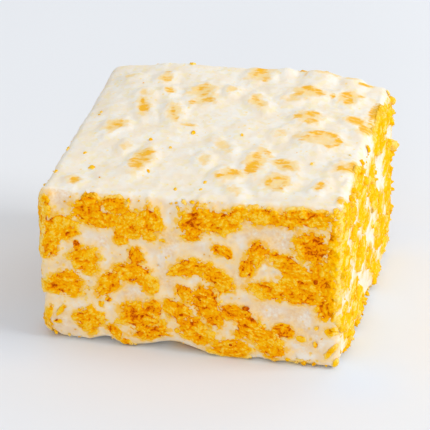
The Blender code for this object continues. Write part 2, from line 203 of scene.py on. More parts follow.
# Where cereal shows through the upper film, and how strongly.
TOP_STROKES = nuggets(
    (3.6, 32.2, 2.8, 2.2, 0, 0.9), (5.4, 28.4, 1.7, 1.8, 0, 0.8), (1.8, 30.4, 2.0, 3.0, 0, 0.6),
    (20.4, 34.8, 5.4, 1.8, 0, 0.4), (15.4, 32.4, 1.4, 3.4, 0, 0.35), (27.8, 34.2, 2.0, 3.2, 0, 0.9),
    (31.9, 31.6, 3.4, 1.7, 25, 0.85), (-20.4, 24.2, 2.2, 2.4, 0, 0.75), (-20.8, 28.2, 1.6, 1.8, 0, 0.6),
    (-18.0, 17.8, 1.9, 2.8, 20, 0.9), (-22.6, 8.2, 2.2, 4.4, 20, 1.0), (-23.8, 11.4, 1.0, 3.8, 20, 0.9),
    (-9.6, 20.4, 2.6, 3.4, -20, 0.6), (-7.0, 14.2, 3.4, 2.2, 20, 0.85), (-10.4, 12.4, 2.0, 2.0, 0, 0.8),
    (-8.4, 17.4, 1.6, 3.0, -20, 0.6), (5.4, 16.2, 1.5, 3.6, 25, 0.9), (7.0, 13.6, 1.1, 2.6, 25, 0.7),
    (-14.4, 6.0, 1.1, 3.8, 16, 0.7), (-12.6, 3.2, 1.0, 1.8, 0, 0.8), (-27.0, -1.0, 2.8, 3.2, 0, 0.75),
    (-28.6, -3.6, 2.0, 2.2, 0, 0.5), (-15.8, -15.4, 3.8, 3.4, -10, 0.95),
    (-16.4, -18.9, 4.6, 2.4, 0, 1.0), (-16.8, -21.6, 3.6, 2.6, 0, 0.75), (12.4, -18.6, 3.0, 5.6, 0, 1.0),
    (12.4, -13.2, 2.4, 5.0, 10, 0.7), (14.6, -10.6, 1.7, 4.6, 35, 0.6),
    (18.8, -14.4, 3.6, 1.9, -10, 0.95), (21.0, -16.8, 1.6, 4.6, 38, 0.8), (18.0, -25.0, 1.5, 3.8, 0, 0.8),
    (20.6, -27.2, 3.2, 1.6, -20, 0.65), (20.6, -23.0, 3.2, 1.5, 10, 0.7), (22.2, -25.4, 1.3, 3.0, 0, 0.6),
    (8.2, -21.8, 3.0, 3.6, -20, 0.75), (5.2, -23.8, 2.6, 1.3, 15, 0.9), (30.8, -25.0, 1.6, 4.4, 0, 0.95),
    (34.2, -14.2, 1.2, 3.6, -20, 0.8), (36.0, -14.2, 1.2, 3.8, -50, 0.8), (18.0, 9.2, 2.6, 2.8, 0, 0.8),
    (21.6, 11.2, 3.2, 2.6, 0, 0.8), (22.0, 7.2, 2.8, 2.6, 0, 0.75), (22.2, -1.4, 1.8, 4.2, -30, 0.6),
    (24.6, 1.6, 4.0, 1.8, 20, 0.85), (28.2, 1.8, 4.0, 1.8, -22, 0.85), (30.7, -1.4, 1.7, 3.6, 10, 0.9),
    (29.0, -4.2, 3.0, 1.7, 0, 0.85), (25.6, -0.4, 3.6, 1.4, 10, 0.5), (32.6, 11.6, 3.8, 3.2, 0, 1.0),
    (35.4, 8.2, 1.9, 4.8, 28, 1.0), (18.8, 24.0, 5.6, 2.0, -12, 0.85), (21.4, 22.4, 2.4, 1.6, 0, 0.8),
    (15.4, 21.0, 1.8, 4.0, -35, 0.5), (28.0, 24.6, 2.8, 2.6, 0, 0.85), (29.0, 21.8, 2.0, 3.4, 0, 0.95),
    (31.4, 25.4, 2.0, 1.4, 0, 0.5), (24.6, 22.9, 1.5, 2.0, 0, 0.8), (-30.4, -29.8, 2.4, 2.6, 0, 1.0),
    (-8.6, 0.6, 4.6, 0.9, 0, 0.5), (36.6, 18.6, 2.6, 8.0, 4, 1.0), (37.0, 11.0, 2.4, 7.0, 4, 0.9),
    (37.0, -12.8, 2.4, 4.4, 0, 1.0), (37.2, -30.6, 2.0, 4.0, 0, 0.9),
)

TOP_FRAGMENTS = nuggets(
    (-28.0, -22.6, 1.9, 2.2), (-13.4, -23.0, 1.0, 2.0, 25), (-6.8, -2.4, 1.3, 1.9),
    (-0.9, -4.2, 1.1, 1.6), (1.4, -14.8, 1.0, 1.6), (30.8, -2.0, 1.0, 1.9), (17.4, 9.6, 1.4, 1.6),
    (24.4, 22.6, 1.2, 1.5), (4.8, -23.8, 2.2, 1.1, 20), (-31.8, -15.8, 1.3, 1.4), (-16.6, -7.8, 1.2, 1.2),
    (-10.6, -11.0, 1.0, 1.1), (5.5, 28.2, 1.0, 1.3), (-10.4, 12.2, 1.3, 1.5), (-12.3, 3.2, 0.9, 1.4),
    (38.0, 33.0, 1.6, 1.9), (-15.6, 33.4, 1.8, 1.4), (9.0, 35.0, 1.6, 1.4), (-4.4, -30.4, 1.1, 1.4),
    (2.0, -30.2, 1.0, 1.1), (6.0, -2.4, 0.8, 1.3), (2.2, -26.4, 1.1, 1.3), (-37.4, -12.6, 0.9, 1.5),
    (-36.6, -25.6, 1.0, 1.2), (30.8, -25.4, 1.0, 2.2), (-22.6, 7.6, 1.6, 2.6, 20),
    (12.6, -19.6, 1.6, 2.4), (12.3, -21.4, 1.2, 1.3), (32.4, 11.4, 2.2, 1.7), (36.0, 7.2, 1.1, 2.0, 20),
    (-30.6, -29.8, 1.7, 1.6), (16.2, 0.6, 0.7, 0.9), (-24.6, -28.0, 0.8, 0.8), (26.4, -13.4, 0.8, 0.9),
    (-33.6, 6.4, 0.8, 0.9),
)

RIGHT_NUGGETS = nuggets(
    (-29.4, 39.6, 8.6, 5.2, -5), (-13.6, 40.8, 9.0, 6.2, -4), (12.4, 40.6, 11.6, 6.0, -2),
    (21.4, 41.2, 9.6, 6.0, -4), (28.6, 39.8, 10.0, 6.2, -12), (-18.6, 42.0, 4.4, 2.4, -10),
    (-31.4, 41.8, 4.4, 3.0, 10), (-22.4, 41.2, 3.6, 3.2), (-31.4, 35.0, 6.2, 6.6),
    (-22.4, 36.4, 10.4, 5.6, -15), (-7.6, 35.4, 11.4, 6.4, -15), (3.8, 36.0, 10.8, 6.6, -15),
    (18.0, 37.0, 9.4, 5.2, -10), (-29.8, 28.0, 8.8, 6.0, -10), (-19.4, 30.2, 8.4, 3.8, -15),
    (-9.0, 30.6, 12.4, 6.0, -20), (4.4, 30.6, 11.0, 6.2, -20), (23.6, 34.4, 5.6, 2.4, -15),
    (25.4, 29.4, 9.4, 7.0, -15), (-17.0, 25.0, 13.0, 6.6, -18), (-3.6, 25.6, 11.0, 5.2, -15),
    (9.2, 25.6, 10.0, 4.8, -20), (-27.2, 21.4, 11.8, 6.4, -10), (-10.0, 19.6, 13.0, 7.2, -10),
    (17.4, 20.6, 13.4, 7.4, -20), (28.8, 20.2, 8.8, 7.4, -20), (-30.2, 13.0, 7.8, 6.2),
    (-19.0, 14.0, 12.4, 5.2, -10), (2.2, 13.4, 11.8, 6.0, -20), (18.4, 12.4, 14.0, 7.2, -20),
    (30.4, 11.0, 8.4, 8.4), (-14.0, 8.2, 13.4, 7.0, -15), (-26.0, 8.0, 9.6, 5.4),
    (9.6, 7.2, 12.4, 5.6, -18), (27.0, 4.6, 12.8, 6.2, -10), (-22.6, 3.2, 11.0, 4.8),
    (-8.0, 3.4, 9.0, 5.0, -10), (14.6, 2.8, 8.8, 4.4), (-32.6, 24.2, 3.2, 5.0),
    (6.2, 20.4, 4.0, 2.0, -15, 0.6), (-5.0, 12.4, 3.0, 2.0, -20, 0.6), (33.4, 34.6, 2.4, 5.0, 0, 0.8),
)

# Where the cut front's marshmallow is full of fine cereal dust.
FRONT_DUST = tuple(
    Spot(*row)
    for row in (
        (-33.0, 42.4, 3.6), (17.0, 37.2, 4.4), (23.6, 35.8, 4.6), (20.0, 15.6, 3.6), (28.4, 14.6, 4.6),
        (30.4, 8.4, 4.4), (-4.6, 33.0, 3.2), (-32.0, 22.6, 2.8), (-14.6, 15.8, 3.4), (-34.4, 6.0, 3.4),
        (12.6, 23.8, 2.4), (-4.4, 24.0, 2.6), (-5.0, 20.4, 2.4), (-5.6, 30.0, 2.6), (14.2, 23.0, 2.0),
        (23.0, 12.6, 3.0), (-22.0, 30.4, 2.2),
    )
)


def eased(values: Array) -> Array:
    """0 to 1 with a soft start and end, for an array."""
    held = np.clip(values, 0.0, 1.0)
    return held * held * (3.0 - 2.0 * held)


class Seed(IntEnum):
    """Which noise each effect on the block draws from."""

    LUMP = 5
    SWELL = 31
    RIPPLE = 35
    TOP_SWELL = 41
    BUBBLE = 47
    EDGE = 61
    CLOUD = 63
    WANDER = 81
    FRAY = 85
    PATCH = 91


class LatticeNoise:
    """Repeatable noise for whole arrays of points."""

    MASK = np.uint64(0xFFFFFFFF)
    AXIS_FACTORS = tuple(np.uint64(factor) for factor in (0x8DA6B343, 0xD8163841, 0xCB1AB31F))
    SEED_FACTOR = 0x9E3779B1
    STIRS = ((15, 0x2C1B3C6D), (12, 0x297A2D39))
    LAST_SHIFT = np.uint64(15)
    SHARE_SHIFTS = (0, 10, 20)
    SHARE_MOST = 1023
    SMOOTH_GAIN = 1.7
    ROUGH_GAIN = 1.5
    GRAIN_REACH = 0.85

    @classmethod
    def scramble(cls, cells: Array, seed: int) -> Array:
        """Turns lattice cells into evenly spread whole numbers.

        Args:
            cells: Whole-number places, one row each.
            seed: Which of the many noises to draw from.

        Returns:
            One 32-bit whole number for each cell.
        """
        whole = cells.astype(np.int64).astype(np.uint64)
        mixed = np.full(len(whole), np.uint64(seed * cls.SEED_FACTOR))
        for axis, factor in enumerate(cls.AXIS_FACTORS):
            mixed += whole[:, axis] * factor
        mixed &= cls.MASK
        for shift, factor in cls.STIRS:
            mixed ^= mixed >> np.uint64(shift)
            mixed = (mixed * np.uint64(factor)) & cls.MASK
        return mixed ^ (mixed >> cls.LAST_SHIFT)

    @classmethod
    def triple(cls, numbers: Array) -> Array:
        """Three shares of 0 to 1 from each whole number, in a row."""
        parts = [(numbers >> np.uint64(shift)) & np.uint64(cls.SHARE_MOST) for shift in cls.SHARE_SHIFTS]
        return np.stack(parts, axis=-1).astype(float) / cls.SHARE_MOST

    @classmethod
    def smooth(cls, points: Array, pitch: float, seed: int) -> Array:
        """Rolling noise of about -1 to 1.

        Args:
            points: Places in millimetres, one row each.
            pitch: The size of its swells.
            seed: Which noise to draw from.

        Returns:
            One value for each point.
        """
        scaled = points / pitch
        base = np.floor(scaled)
        inside = scaled - base
        blend = inside**3 * (inside * (inside * 6.0 - 15.0) + 10.0)
        total = np.zeros(len(points))
        for corner in itertools.product((0.0, 1.0), repeat=3):
            place = np.array(corner)
            slope = cls.triple(cls.scramble(base + place, seed)) * 2.0 - 1.0
            weight = np.prod(np.where(place > 0.5, blend, 1.0 - blend), axis=1)
            total += weight * np.sum(slope * (inside - place), axis=1)
        return total * cls.SMOOTH_GAIN

    @classmethod
    def rough(cls, points: Array, pitch: float, seed: int, layers: int = 3) -> Array:
        """Rolling noise with finer noise on it.

        Args:
            points: Places in millimetres, one row each.
            pitch: The size of the largest swells.
            seed: Which noise to draw from. Each layer takes the next one.
            layers: How many noises are added, each half as large as the one before.

        Returns:
            One value of about -1 to 1 for each point.
        """
        total = np.zeros(len(points))
        for layer in range(layers):
            total += cls.smooth(points, pitch / 2**layer, seed + layer) / 2**layer
        return total / cls.ROUGH_GAIN

    @classmethod
    def grains(cls, points: Array, pitch: float, seed: int) -> Array:
        """Packed round grains.

        Args:
            points: Places in millimetres, one row each.
            pitch: The size of a grain.
            seed: Which noise to draw from.

        Returns:
            Each point's closeness to its grain's middle, 1 there and about 0 between grains.
        """
        scaled = points / pitch
        base = np.floor(scaled)
        nearest = np.full(len(points), np.inf)
        for offset in itertools.product((-1.0, 0.0, 1.0), repeat=3):
            cell = base + np.array(offset)
            gap = np.sum((cell + cls.triple(cls.scramble(cell, seed)) - scaled) ** 2, axis=1)
            nearest = np.minimum(nearest, gap)
        return np.clip(1.0 - np.sqrt(nearest) / cls.GRAIN_REACH, 0.0, 1.0)


@dataclass(frozen=True)
class RimHump:
    """A place where the front's lower rim lifts: how high, where, and half how wide."""

    height: float
    across: float
    half_width: float


@dataclass(frozen=True)
class Crest:
    """A place near the back where the top stands higher: where, how high, and how far it reaches."""

    x: float
    y: float
    height: float
    reach: float


@dataclass(frozen=True)
class BlockForm:
    """The block's form, in millimetres: a true box, and how it has settled.

    front_left to back_right are the heights of its upper corners, and top_swell how much higher
    the middle of its back is. The front's upper rim is front_lean further forward than the lower
    one, side_bulge is for front and back, and the left flares by left_flare at the back. Within
    rim_band of the sides the lower rim lifts: in front by its humps, elsewhere in even waves.
    """

    width: float = 76.0
    depth: float = 70.0
    height: float = 44.0
    edge_radius: float = 2.2
    front_left: float = 42.2
    front_right: float = 45.0
    back_left: float = 46.4
    back_right: float = 46.8
    top_swell: float = 3.5
    swell_sharpness: int = 4
    front_lean: float = 1.2
    side_bulge: float = 0.7
    flank_bulge: float = 0.15
    left_flare: float = 1.0
    top_lump: float = 0.5
    lump_pitch: float = 11.0
    lump_sharpness: int = 4
    highest_share: float = 1.2
    rim_band: float = 7.0
    rim_height: float = 7.0
    side_rim_lift: float = 0.7
    side_rim_wave: float = 30.0
    rim_humps: tuple[RimHump, ...] = (
        RimHump(2.1, -4.5, 9.5),
        RimHump(1.3, -22.0, 5.0),
        RimHump(2.0, -38.0, 5.0),
    )
    crests: tuple[Crest, ...] = (
        Crest(10.2, 33.0, 1.4, 4.0),
        Crest(19.6, 32.0, 1.3, 7.5),
        Crest(29.2, 31.0, 1.4, 7.0),
        Crest(37.0, 30.0, 1.0, 8.0),
    )

    @property
    def half(self) -> Array:
        """Half of the true box's sizes."""
        return np.array((self.width, self.depth, self.height)) / 2

    @property
    def centre(self) -> Array:
        """The middle of the true box."""
        return np.array((0.0, 0.0, self.height / 2))

    def extent(self, side: Side) -> tuple[float, float]:
        """Where a side starts and ends along its second axis."""
        level = side in (Side.TOP, Side.BASE)
        return (-self.depth / 2, self.depth / 2) if level else (0.0, self.height)

    def top_height(self, x: Array, y: Array) -> Array:
        """The upper face's height above places.

        Args:
            x: How far to the right each place is.
            y: How far to the back each place is.

        Returns:
            One height for each place.
        """
        u = np.clip(x / self.width + 0.5, 0.0, 1.0)
        v = np.clip(y / self.depth + 0.5, 0.0, 1.0)
        front = self.front_left + (self.front_right - self.front_left) * u
        back = self.back_left + (self.back_right - self.back_left) * u
        swell = self.top_swell * v * (1.0 - (2.0 * u - 1.0) ** self.swell_sharpness)
        crests = [
            crest.height * eased(1.0 - np.hypot(x - crest.x, y - crest.y) / crest.reach)
            for crest in self.crests
        ]
        return front + (back - front) * v + swell + np.max(crests, axis=0)

    def rim_lift(self, x: Array, y: Array) -> Array:
        """How far the lower rim stands off the table.

        Args:
            x: How far to the right each place is.
            y: How far to the back each place is.

        Returns:
            One lift for each place.
        """
        front = sum(
            hump.height * eased(1.0 - np.abs(x - hump.across) / hump.half_width)
            for hump in self.rim_humps
        )
        sides = self.side_rim_lift * (1.0 + np.sin(2.0 * math.pi * (x + y) / self.side_rim_wave))
        in_front = eased((-y - self.depth / 2 + self.rim_band) / self.rim_band)
        elsewhere = np.maximum(
            eased((np.abs(x) - self.width / 2 + self.rim_band) / self.rim_band),
            eased((y - self.depth / 2 + self.rim_band) / self.rim_band),
        )
        return front * in_front + sides * elsewhere * (1.0 - in_front)

    def settle(self, points: Array) -> Array:
        """Moves points of the true box to where they lie in the settled block.

        Args:
            points: Places in the true box, one row each.

        Returns:
            The settled places.
        """
        x, y, z = points.T
        share = np.clip(z / self.height, 0.0, self.highest_share)
        flat = np.stack([x, y, np.zeros(len(z))], axis=1)
        lump = self.top_lump * LatticeNoise.smooth(flat, self.lump_pitch, Seed.LUMP)
        settled = z * self.top_height(x, y) / self.height + lump * share**self.lump_sharpness
        settled = settled + self.rim_lift(x, y) * eased(1.0 - settled / self.rim_height)
        belly = np.sin(math.pi * np.clip(share, 0.0, 1.0))
        wide = x + self.flank_bulge * belly * np.clip(2.0 * x / self.width, -1.0, 1.0)
        backward = np.clip(0.5 + y / self.depth, 0.0, 1.0)
        wide = wide - self.left_flare * backward**2 * share * np.clip(-2.0 * x / self.width, 0.0, 1.0)
        deep = y + self.side_bulge * belly * np.clip(2.0 * y / self.depth, -1.0, 1.0)
        deep = deep - self.front_lean * (share - 0.5) * eased(0.5 - y / self.depth)
        return np.stack([wide, deep, np.maximum(settled, 0.0)], axis=1)

    def skin(self, points: Array, limit: float) -> tuple[Array, Array]:
        """Holds points to the rounded box's skin, or to a height above it.

        Args:
            points: Places near the true box, one row each.
            limit: The most that a point may stand above the skin.

        Returns:
            The held places, and the skin's direction out at each.
        """
        core = self.half - self.edge_radius
        inner = self.centre + np.clip(points - self.centre, -core, core)
        away = points - inner
        length = np.linalg.norm(away, axis=1, keepdims=True)
        outward = away / np.maximum(length, 1e-9)
        reach = np.minimum(length, self.edge_radius + limit)
        return inner + outward * reach, outward

    def on_side(self, side: Side, across: Array, up: Array, out: Array) -> Array:
        """Places on or above a side.

        Args:
            side: The side of the true box.
            across: How far each place is along the side's first axis.
            up: How far it is along the second.
            out: How far it stands out of the side.

        Returns:
            The places in the true box, one row each.
        """
        axes = side.axes
        far = np.abs(axes[2]) @ self.half + axes[2] @ self.centre + out
        return across[:, None] * axes[0] + up[:, None] * axes[1] + far[:, None] * axes[2]


@dataclass
class MeshParts:
    """Points, faces and point values that are gathered into one mesh."""

    points: list[Array] = field(default_factory=list)
    quads: list[Array] = field(default_factory=list)
    triangles: list[Array] = field(default_factory=list)
    values: dict[str, list[Array]] = field(default_factory=dict)
    count: int = 0

    def add(self, points: Array, quads: Array, triangles: Array, values: dict[str, Array]) -> None:
        """Adds one closed shape.

        Args:
            points: Its places in metres, one row each.
            quads: Its four-sided faces, as rows of its own point numbers.
            triangles: Its three-sided faces.
            values: A named number for each point.
        """
        self.points.append(points)
        self.quads.append(quads.reshape(-1, 4) + self.count)
        self.triangles.append(triangles.reshape(-1, 3) + self.count)
        for name, numbers in values.items():
            self.values.setdefault(name, []).append(numbers)
        self.count += len(points)

    def piece(self, name: str, finish: Material) -> bpy.types.Object:
        """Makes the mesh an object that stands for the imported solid.

        Args:
            name: The piece's name.
            finish: Its material.

        Returns:
            The new object.
        """
        points = np.concatenate(self.points)
        quads = np.concatenate(self.quads)
        triangles = np.concatenate(self.triangles)
        mesh = bpy.data.meshes.new(name)
        mesh.vertices.add(len(points))
        mesh.vertices.foreach_set("co", points.astype(np.float32).ravel())
        loops = np.concatenate([quads.ravel(), triangles.ravel()]).astype(np.int32)
        mesh.loops.add(len(loops))
        mesh.loops.foreach_set("vertex_index", loops)
        starts = [np.arange(len(quads)) * 4, len(quads) * 4 + np.arange(len(triangles)) * 3]
        starts = np.concatenate(starts).astype(np.int32)
        mesh.polygons.add(len(starts))
        mesh.polygons.foreach_set("loop_start", starts)
        mesh.update(calc_edges=True)
        mesh.validate()
        mesh.shade_smooth()
        for label, numbers in self.values.items():
            attribute = mesh.attributes.new(label, "FLOAT", "POINT")
            attribute.data.foreach_set("value", np.concatenate(numbers).astype(np.float32))
        mesh.materials.append(finish)
        made = bpy.data.objects.new(name, mesh)
        bpy.context.scene.collection.objects.link(made)
        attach(made, "root")
        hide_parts(NODE)
        log.info("%s: %d points, %d faces", name, len(points), len(starts))
        return made


@dataclass(frozen=True)
class Knob:
    """A coarse ball that crumbs are shaped from."""

    points: Array
    triangles: Array

    @classmethod
    def ball(cls, subdivisions: int) -> Knob:
        """Makes the ball.

        Args:
            subdivisions: 1 for an icosahedron, 2 for its first refinement.

        Returns:
            A ball of radius 1.
        """
        shape = bmesh.new()
        bmesh.ops.create_icosphere(shape, subdivisions=subdivisions, radius=1.0)
        shape.verts.ensure_lookup_table()
        points = np.array([vert.co[:] for vert in shape.verts])
        triangles = np.array([[vert.index for vert in face.verts] for face in shape.faces])
        shape.free()
        return cls(points, triangles)


@dataclass(frozen=True)
class Crumble:
    """How crumbly a cut through cereal is: depths, heights and pitches in millimetres.

    Each layer, from swells to pits, also has a tone: how much it darkens or lightens the cereal,
    so that low places are painted darker, partly painted shade, and high ones paler, partly
    painted highlight, along with the cereal's own toasted tone.
    warp is how far the strands wander, and stretch their width as a share of their length.
    """

    swell: float = 0.24
    swell_pitch: float = 2.4
    swell_tone: float = 0.32
    strand: float = 0.21
    strand_pitch: float = 1.15
    strand_tone: float = 0.4
    strand_gain: float = 2.5
    strand_middle: float = 0.55
    fine: float = 0.11
    fine_pitch: float = 0.62
    fine_tone: float = 0.36
    pit: float = 0.34
    pit_pitch: float = 1.45
    pit_tone: float = 0.4
    pit_start: float = 0.34
    pit_edge: float = 0.22
    warp: float = 0.5
    warp_pitch: float = 1.9
    stretch: float = 0.6
    usual: float = 0.62

    def relief(self, local: Array, seed: int) -> tuple[Array, Array]:
        """The crumbly surface. Each layer draws from a noise a few numbers on from the seed.

        Args:
            local: Places along, across and out of the cereal's fibres in millimetres.
            seed: The nugget's own number.

        Returns:
            The height of each place in millimetres, and its share of 0, deep, to 1, high.
        """
        warp = [LatticeNoise.smooth(local, self.warp_pitch, seed + 20 + k) for k in range(2)]
        bent = local * np.array((self.stretch, 1.0, 1.0))
        bent = bent + self.warp * np.stack([*warp, np.zeros(len(local))], axis=1)
        swell = LatticeNoise.smooth(local, self.swell_pitch, seed + 3)
        strand = np.abs(LatticeNoise.smooth(bent, self.strand_pitch, seed + 4))
        strand = np.clip(self.strand_gain * strand, 0.0, 1.0) - self.strand_middle
        fine = LatticeNoise.smooth(bent, self.fine_pitch, seed + 5)
        deep = LatticeNoise.smooth(bent, self.pit_pitch, seed + 7)
        pits = eased((deep - self.pit_start) / self.pit_edge)
        height = self.swell * swell + self.strand * strand + self.fine * fine - self.pit * pits
        share = self.usual + self.swell_tone * swell + self.strand_tone * strand
        share = share + self.fine_tone * fine - self.pit_tone * pits
        return height, np.clip(share, 0.0, 1.0)


@dataclass(frozen=True)
class Outline:
    """How uneven a nugget's edge is: lobes, teeth on them and nicks, as shares of its size.

    A pitch is the most that a tooth or nick may take of the nugget's circle, and a length is how
    long it is in millimetres on a nugget large enough for that. stride sets nuggets apart.
    """

    lobe: float = 0.26
    lobe_pitch: float = 0.9
    tooth: float = 0.13
    tooth_pitch: float = 0.6
    tooth_length: float = 2.8
    nick: float = 0.04
    nick_pitch: float = 0.3
    nick_length: float = 1.2
    stride: float = 2.7

    def reach(self, angle: Array, nugget: Nugget) -> Array:
        """How far the nugget's edge reaches at each angle, about 1.

        Args:
            angle: Directions from its middle.
            nugget: The nugget, since a large one has finer teeth.

        Returns:
            One reach for each direction.
        """
        size = (nugget.width + nugget.height) / 2
        own = np.full_like(angle, nugget.number * self.stride)
        circle = np.stack([np.cos(angle), np.sin(angle), own], 1)
        layers = (
            (self.lobe, self.lobe_pitch),
            (self.tooth, min(self.tooth_pitch, self.tooth_length / size)),
            (self.nick, min(self.nick_pitch, self.nick_length / size)),
        )
        reach = np.ones(len(angle))
        for layer, (amount, pitch) in enumerate(layers):
            reach = reach + amount * LatticeNoise.smooth(circle, pitch, nugget.number + layer)
        return reach


@dataclass(frozen=True)
class CerealLook:
    """What the cereal of a side looks like.

    Two of its values are painted light: how much yellower, and how much paler than most, its
    cereal is painted where the lamps light it. smear is how smeared with marshmallow it is,
    contrast how strongly its hollows and tips differ, and vary how much its nuggets do.
    """

    lit_yellow: float = 0.0
    smear: float = 0.0
    bright: float = 0.0
    contrast: float = 1.0
    vary: float = 0.11


@dataclass(frozen=True)
class Disc:
    """A grid of cells that is bent to a disc of radius 1, with the point numbers of its rim."""

    x: Array
    y: Array
    quads: Array
    rim: Array

    @classmethod
    def of(cls, columns: int, rows: int) -> Disc:
        """Makes the disc.

        Args:
            columns: How many cells it has across.
            rows: How many it has up.

        Returns:
            The disc.
        """
        a, b = np.meshgrid(np.linspace(-1.0, 1.0, columns + 1), np.linspace(-1.0, 1.0, rows + 1))
        a, b = a.ravel(), b.ravel()
        x = a * np.sqrt(1.0 - b * b / 2.0)
        y = b * np.sqrt(1.0 - a * a / 2.0)
        numbers = np.arange(len(a)).reshape(rows + 1, columns + 1)
        corners = [numbers[:-1, :-1], numbers[:-1, 1:], numbers[1:, 1:], numbers[1:, :-1]]
        edges = [numbers[0, :-1], numbers[:-1, -1], numbers[-1, :0:-1], numbers[:0:-1, 0]]
        return cls(x, y, np.stack(corners, -1).reshape(-1, 4), np.concatenate(edges))

    @property
    def radius(self) -> Array:
        """How far from the middle each point is."""
        return np.sqrt(self.x * self.x + self.y * self.y)


@dataclass(frozen=True)
class NuggetSkin:
    """A nugget's upper surface, one value or row for each point.

    radius is 1 at its edge, up a place on the side, grain a place in its fibres, share and height
    what its crumble gives, clear how far it is above the marshmallow, seam how far inside its
    neighbours, held its place over the true box's skin, and outward the direction out.
    """

    radius: Array
    up: Array
    grain: Array
    share: Array
    height: Array
    clear: Array
    seam: Array
    held: Array
    outward: Array


@dataclass(frozen=True)
class NuggetMaker:
    """Shapes single nuggets of cereal: porous, crumbly and flat where the knife went.

    In millimetres, cell is the pitch of the mesh, slope how far the surface falls to its edge,
    drop how far the edge turns under, root how deep the hidden underside is, level how high the
    marshmallow is at the edge, and full_size the least size with full relief. spread is how far
    past its size a nugget may reach, and slant how far its fibres may turn. edge_calm is how much
    flatter it is near its edge, and the small_ fields are for nuggets under full_size.
    """

    form: BlockForm
    crumble: Crumble = Crumble()
    outline: Outline = Outline()
    cell: float = 0.24
    least_cells: int = 6
    spread: float = 1.32
    slope: float = 0.42
    level: float = 0.66
    drop: float = 1.4
    edge_sharpness: int = 16
    root: float = 1.0
    root_inset: float = 0.1
    full_size: float = 4.0
    jostle: float = 0.1
    jostle_pitch: float = 0.6
    slant: float = 50.0
    patch_pitch: float = 2.3
    cloud: float = 0.28
    cloud_pitch: float = 4.4
    # Painted shade: a nugget is painted darker towards its upper edge, partly its toasted crust and partly
    # shade under the marshmallow's overhang, and in its seams with neighbours.
    top_shade: float = 0.16
    seam_shade: float = 0.2
    edge_calm: float = 0.45
    small_relief: float = 0.35
    small_pale: float = 0.3
    small_film: float = 0.9
    # Painted light: nuggets that face the right-hand lamps, and those near the lit right edge, are painted
    # yellower.
    painted_key_yellow: float = 0.6
    painted_corner_yellow: float = 0.4
    hidden_relief: float = 0.8
    hidden_film: float = 0.6

    def add(
        self,
        parts: MeshParts,
        side: Side,
        nugget: Nugget,
        others: Nuggets,
        proud: float,
        look: CerealLook,
        tone: float,
    ) -> None:
        """Shapes a nugget and adds it to a mesh.

        Args:
            parts: The mesh that it goes into.
            side: The side that it shows on.
            nugget: Its place and size.
            others: The nuggets of the side, whose seams with it have no marshmallow.
            proud: How far it stands above the skin, in millimetres.
            look: What the side's cereal looks like.
            tone: How much paler than most this nugget is, about 0.
        """
        columns, rows = (
            max(self.least_cells, round(size * self.spread / self.cell))
            for size in (nugget.width, nugget.height)
        )
        disc = Disc.of(columns, rows)
        skin = self.surface(disc, side, nugget, others, proud)
        raised = skin.held + skin.outward * skin.height[:, None]
        jostle = [
            LatticeNoise.smooth(skin.grain, self.jostle_pitch, nugget.number + 8 + axis)
            for axis in range(3)
        ]
        raised = raised + self.jostle * np.stack(jostle, axis=1)
        under, skirt, floor = self.underside(disc, skin, min(1.0, nugget.least / self.full_size))
        hidden = {"relief": self.hidden_relief, "film": self.hidden_film, "lit_yellow": look.lit_yellow}
        values = {
            name: np.concatenate([shares, np.full(len(under), hidden[name])])
            for name, shares in self.shares(skin, side, nugget, look, tone).items()
        }
        points = self.form.settle(np.concatenate([raised, under])) * MM
        parts.add(points, np.concatenate([disc.quads, skirt]), floor, values)

    def surface(self, disc: Disc, side: Side, nugget: Nugget, others: Nuggets, proud: float) -> NuggetSkin:
        """Works out a nugget's upper surface.

        Args:
            disc: The mesh that it is made from.
            side: The side that it shows on.
            nugget: Its place and size.
            others: The nuggets of the side.
            proud: How far it stands above the skin, in millimetres.

        Returns:
            The surface.
        """
        radius = disc.radius
        reach = self.outline.reach(np.arctan2(disc.y, disc.x), nugget) * self.spread / 2.0
        across, up = nugget.placed(disc.x * nugget.width * reach, disc.y * nugget.height * reach)
        small = min(1.0, nugget.least / self.full_size)
        edge = 1.0 - np.sqrt(np.maximum(0.0, 1.0 - radius**self.edge_sharpness))
        dome = self.slope * radius**4 + self.drop * small * edge
        grain = self.fibres(nugget, across, up)
        height, share = self.crumble.relief(grain, nugget.number)
        height = height * (self.small_relief + (1.0 - self.small_relief) * small)
        height = height * (1.0 - self.edge_calm * eased((radius - 0.6) / 0.25))
        held, outward = self.form.skin(self.form.on_side(side, across, up, proud - dome), proud)
        clear = proud - dome + height - self.level
        seam = self.crowding(nugget, others, across, up)
        return NuggetSkin(radius, up, grain, share, height, clear, seam, held, outward)

    def underside(self, disc: Disc, skin: NuggetSkin, small: float) -> tuple[Array, Array, Array]:
        """Closes a nugget below its rim, inside the marshmallow.

        Args:
            disc: The mesh that its surface is made from.
            skin: Its upper surface.
            small: 1 for a nugget of full size, less for a smaller one.

        Returns:
            The points of the ring and the middle below, the four-sided faces of the skirt
            between rim and ring, and the three-sided faces of the floor.
        """
        rim = disc.rim
        held = skin.held[rim]
        drawn_in = held * (1.0 - self.root_inset) + held.mean(0) * self.root_inset
        sunk = drawn_in - skin.outward[rim] * self.root * small
        ring = len(skin.held) + np.arange(len(rim))
        middle = np.full_like(ring, len(skin.held) + len(rim))
        skirt = np.stack([np.roll(rim, -1), rim, ring, np.roll(ring, -1)], axis=1)
        floor = np.stack([np.roll(ring, -1), ring, middle], axis=1)
        return np.concatenate([sunk, sunk.mean(0, keepdims=True)]), skirt, floor

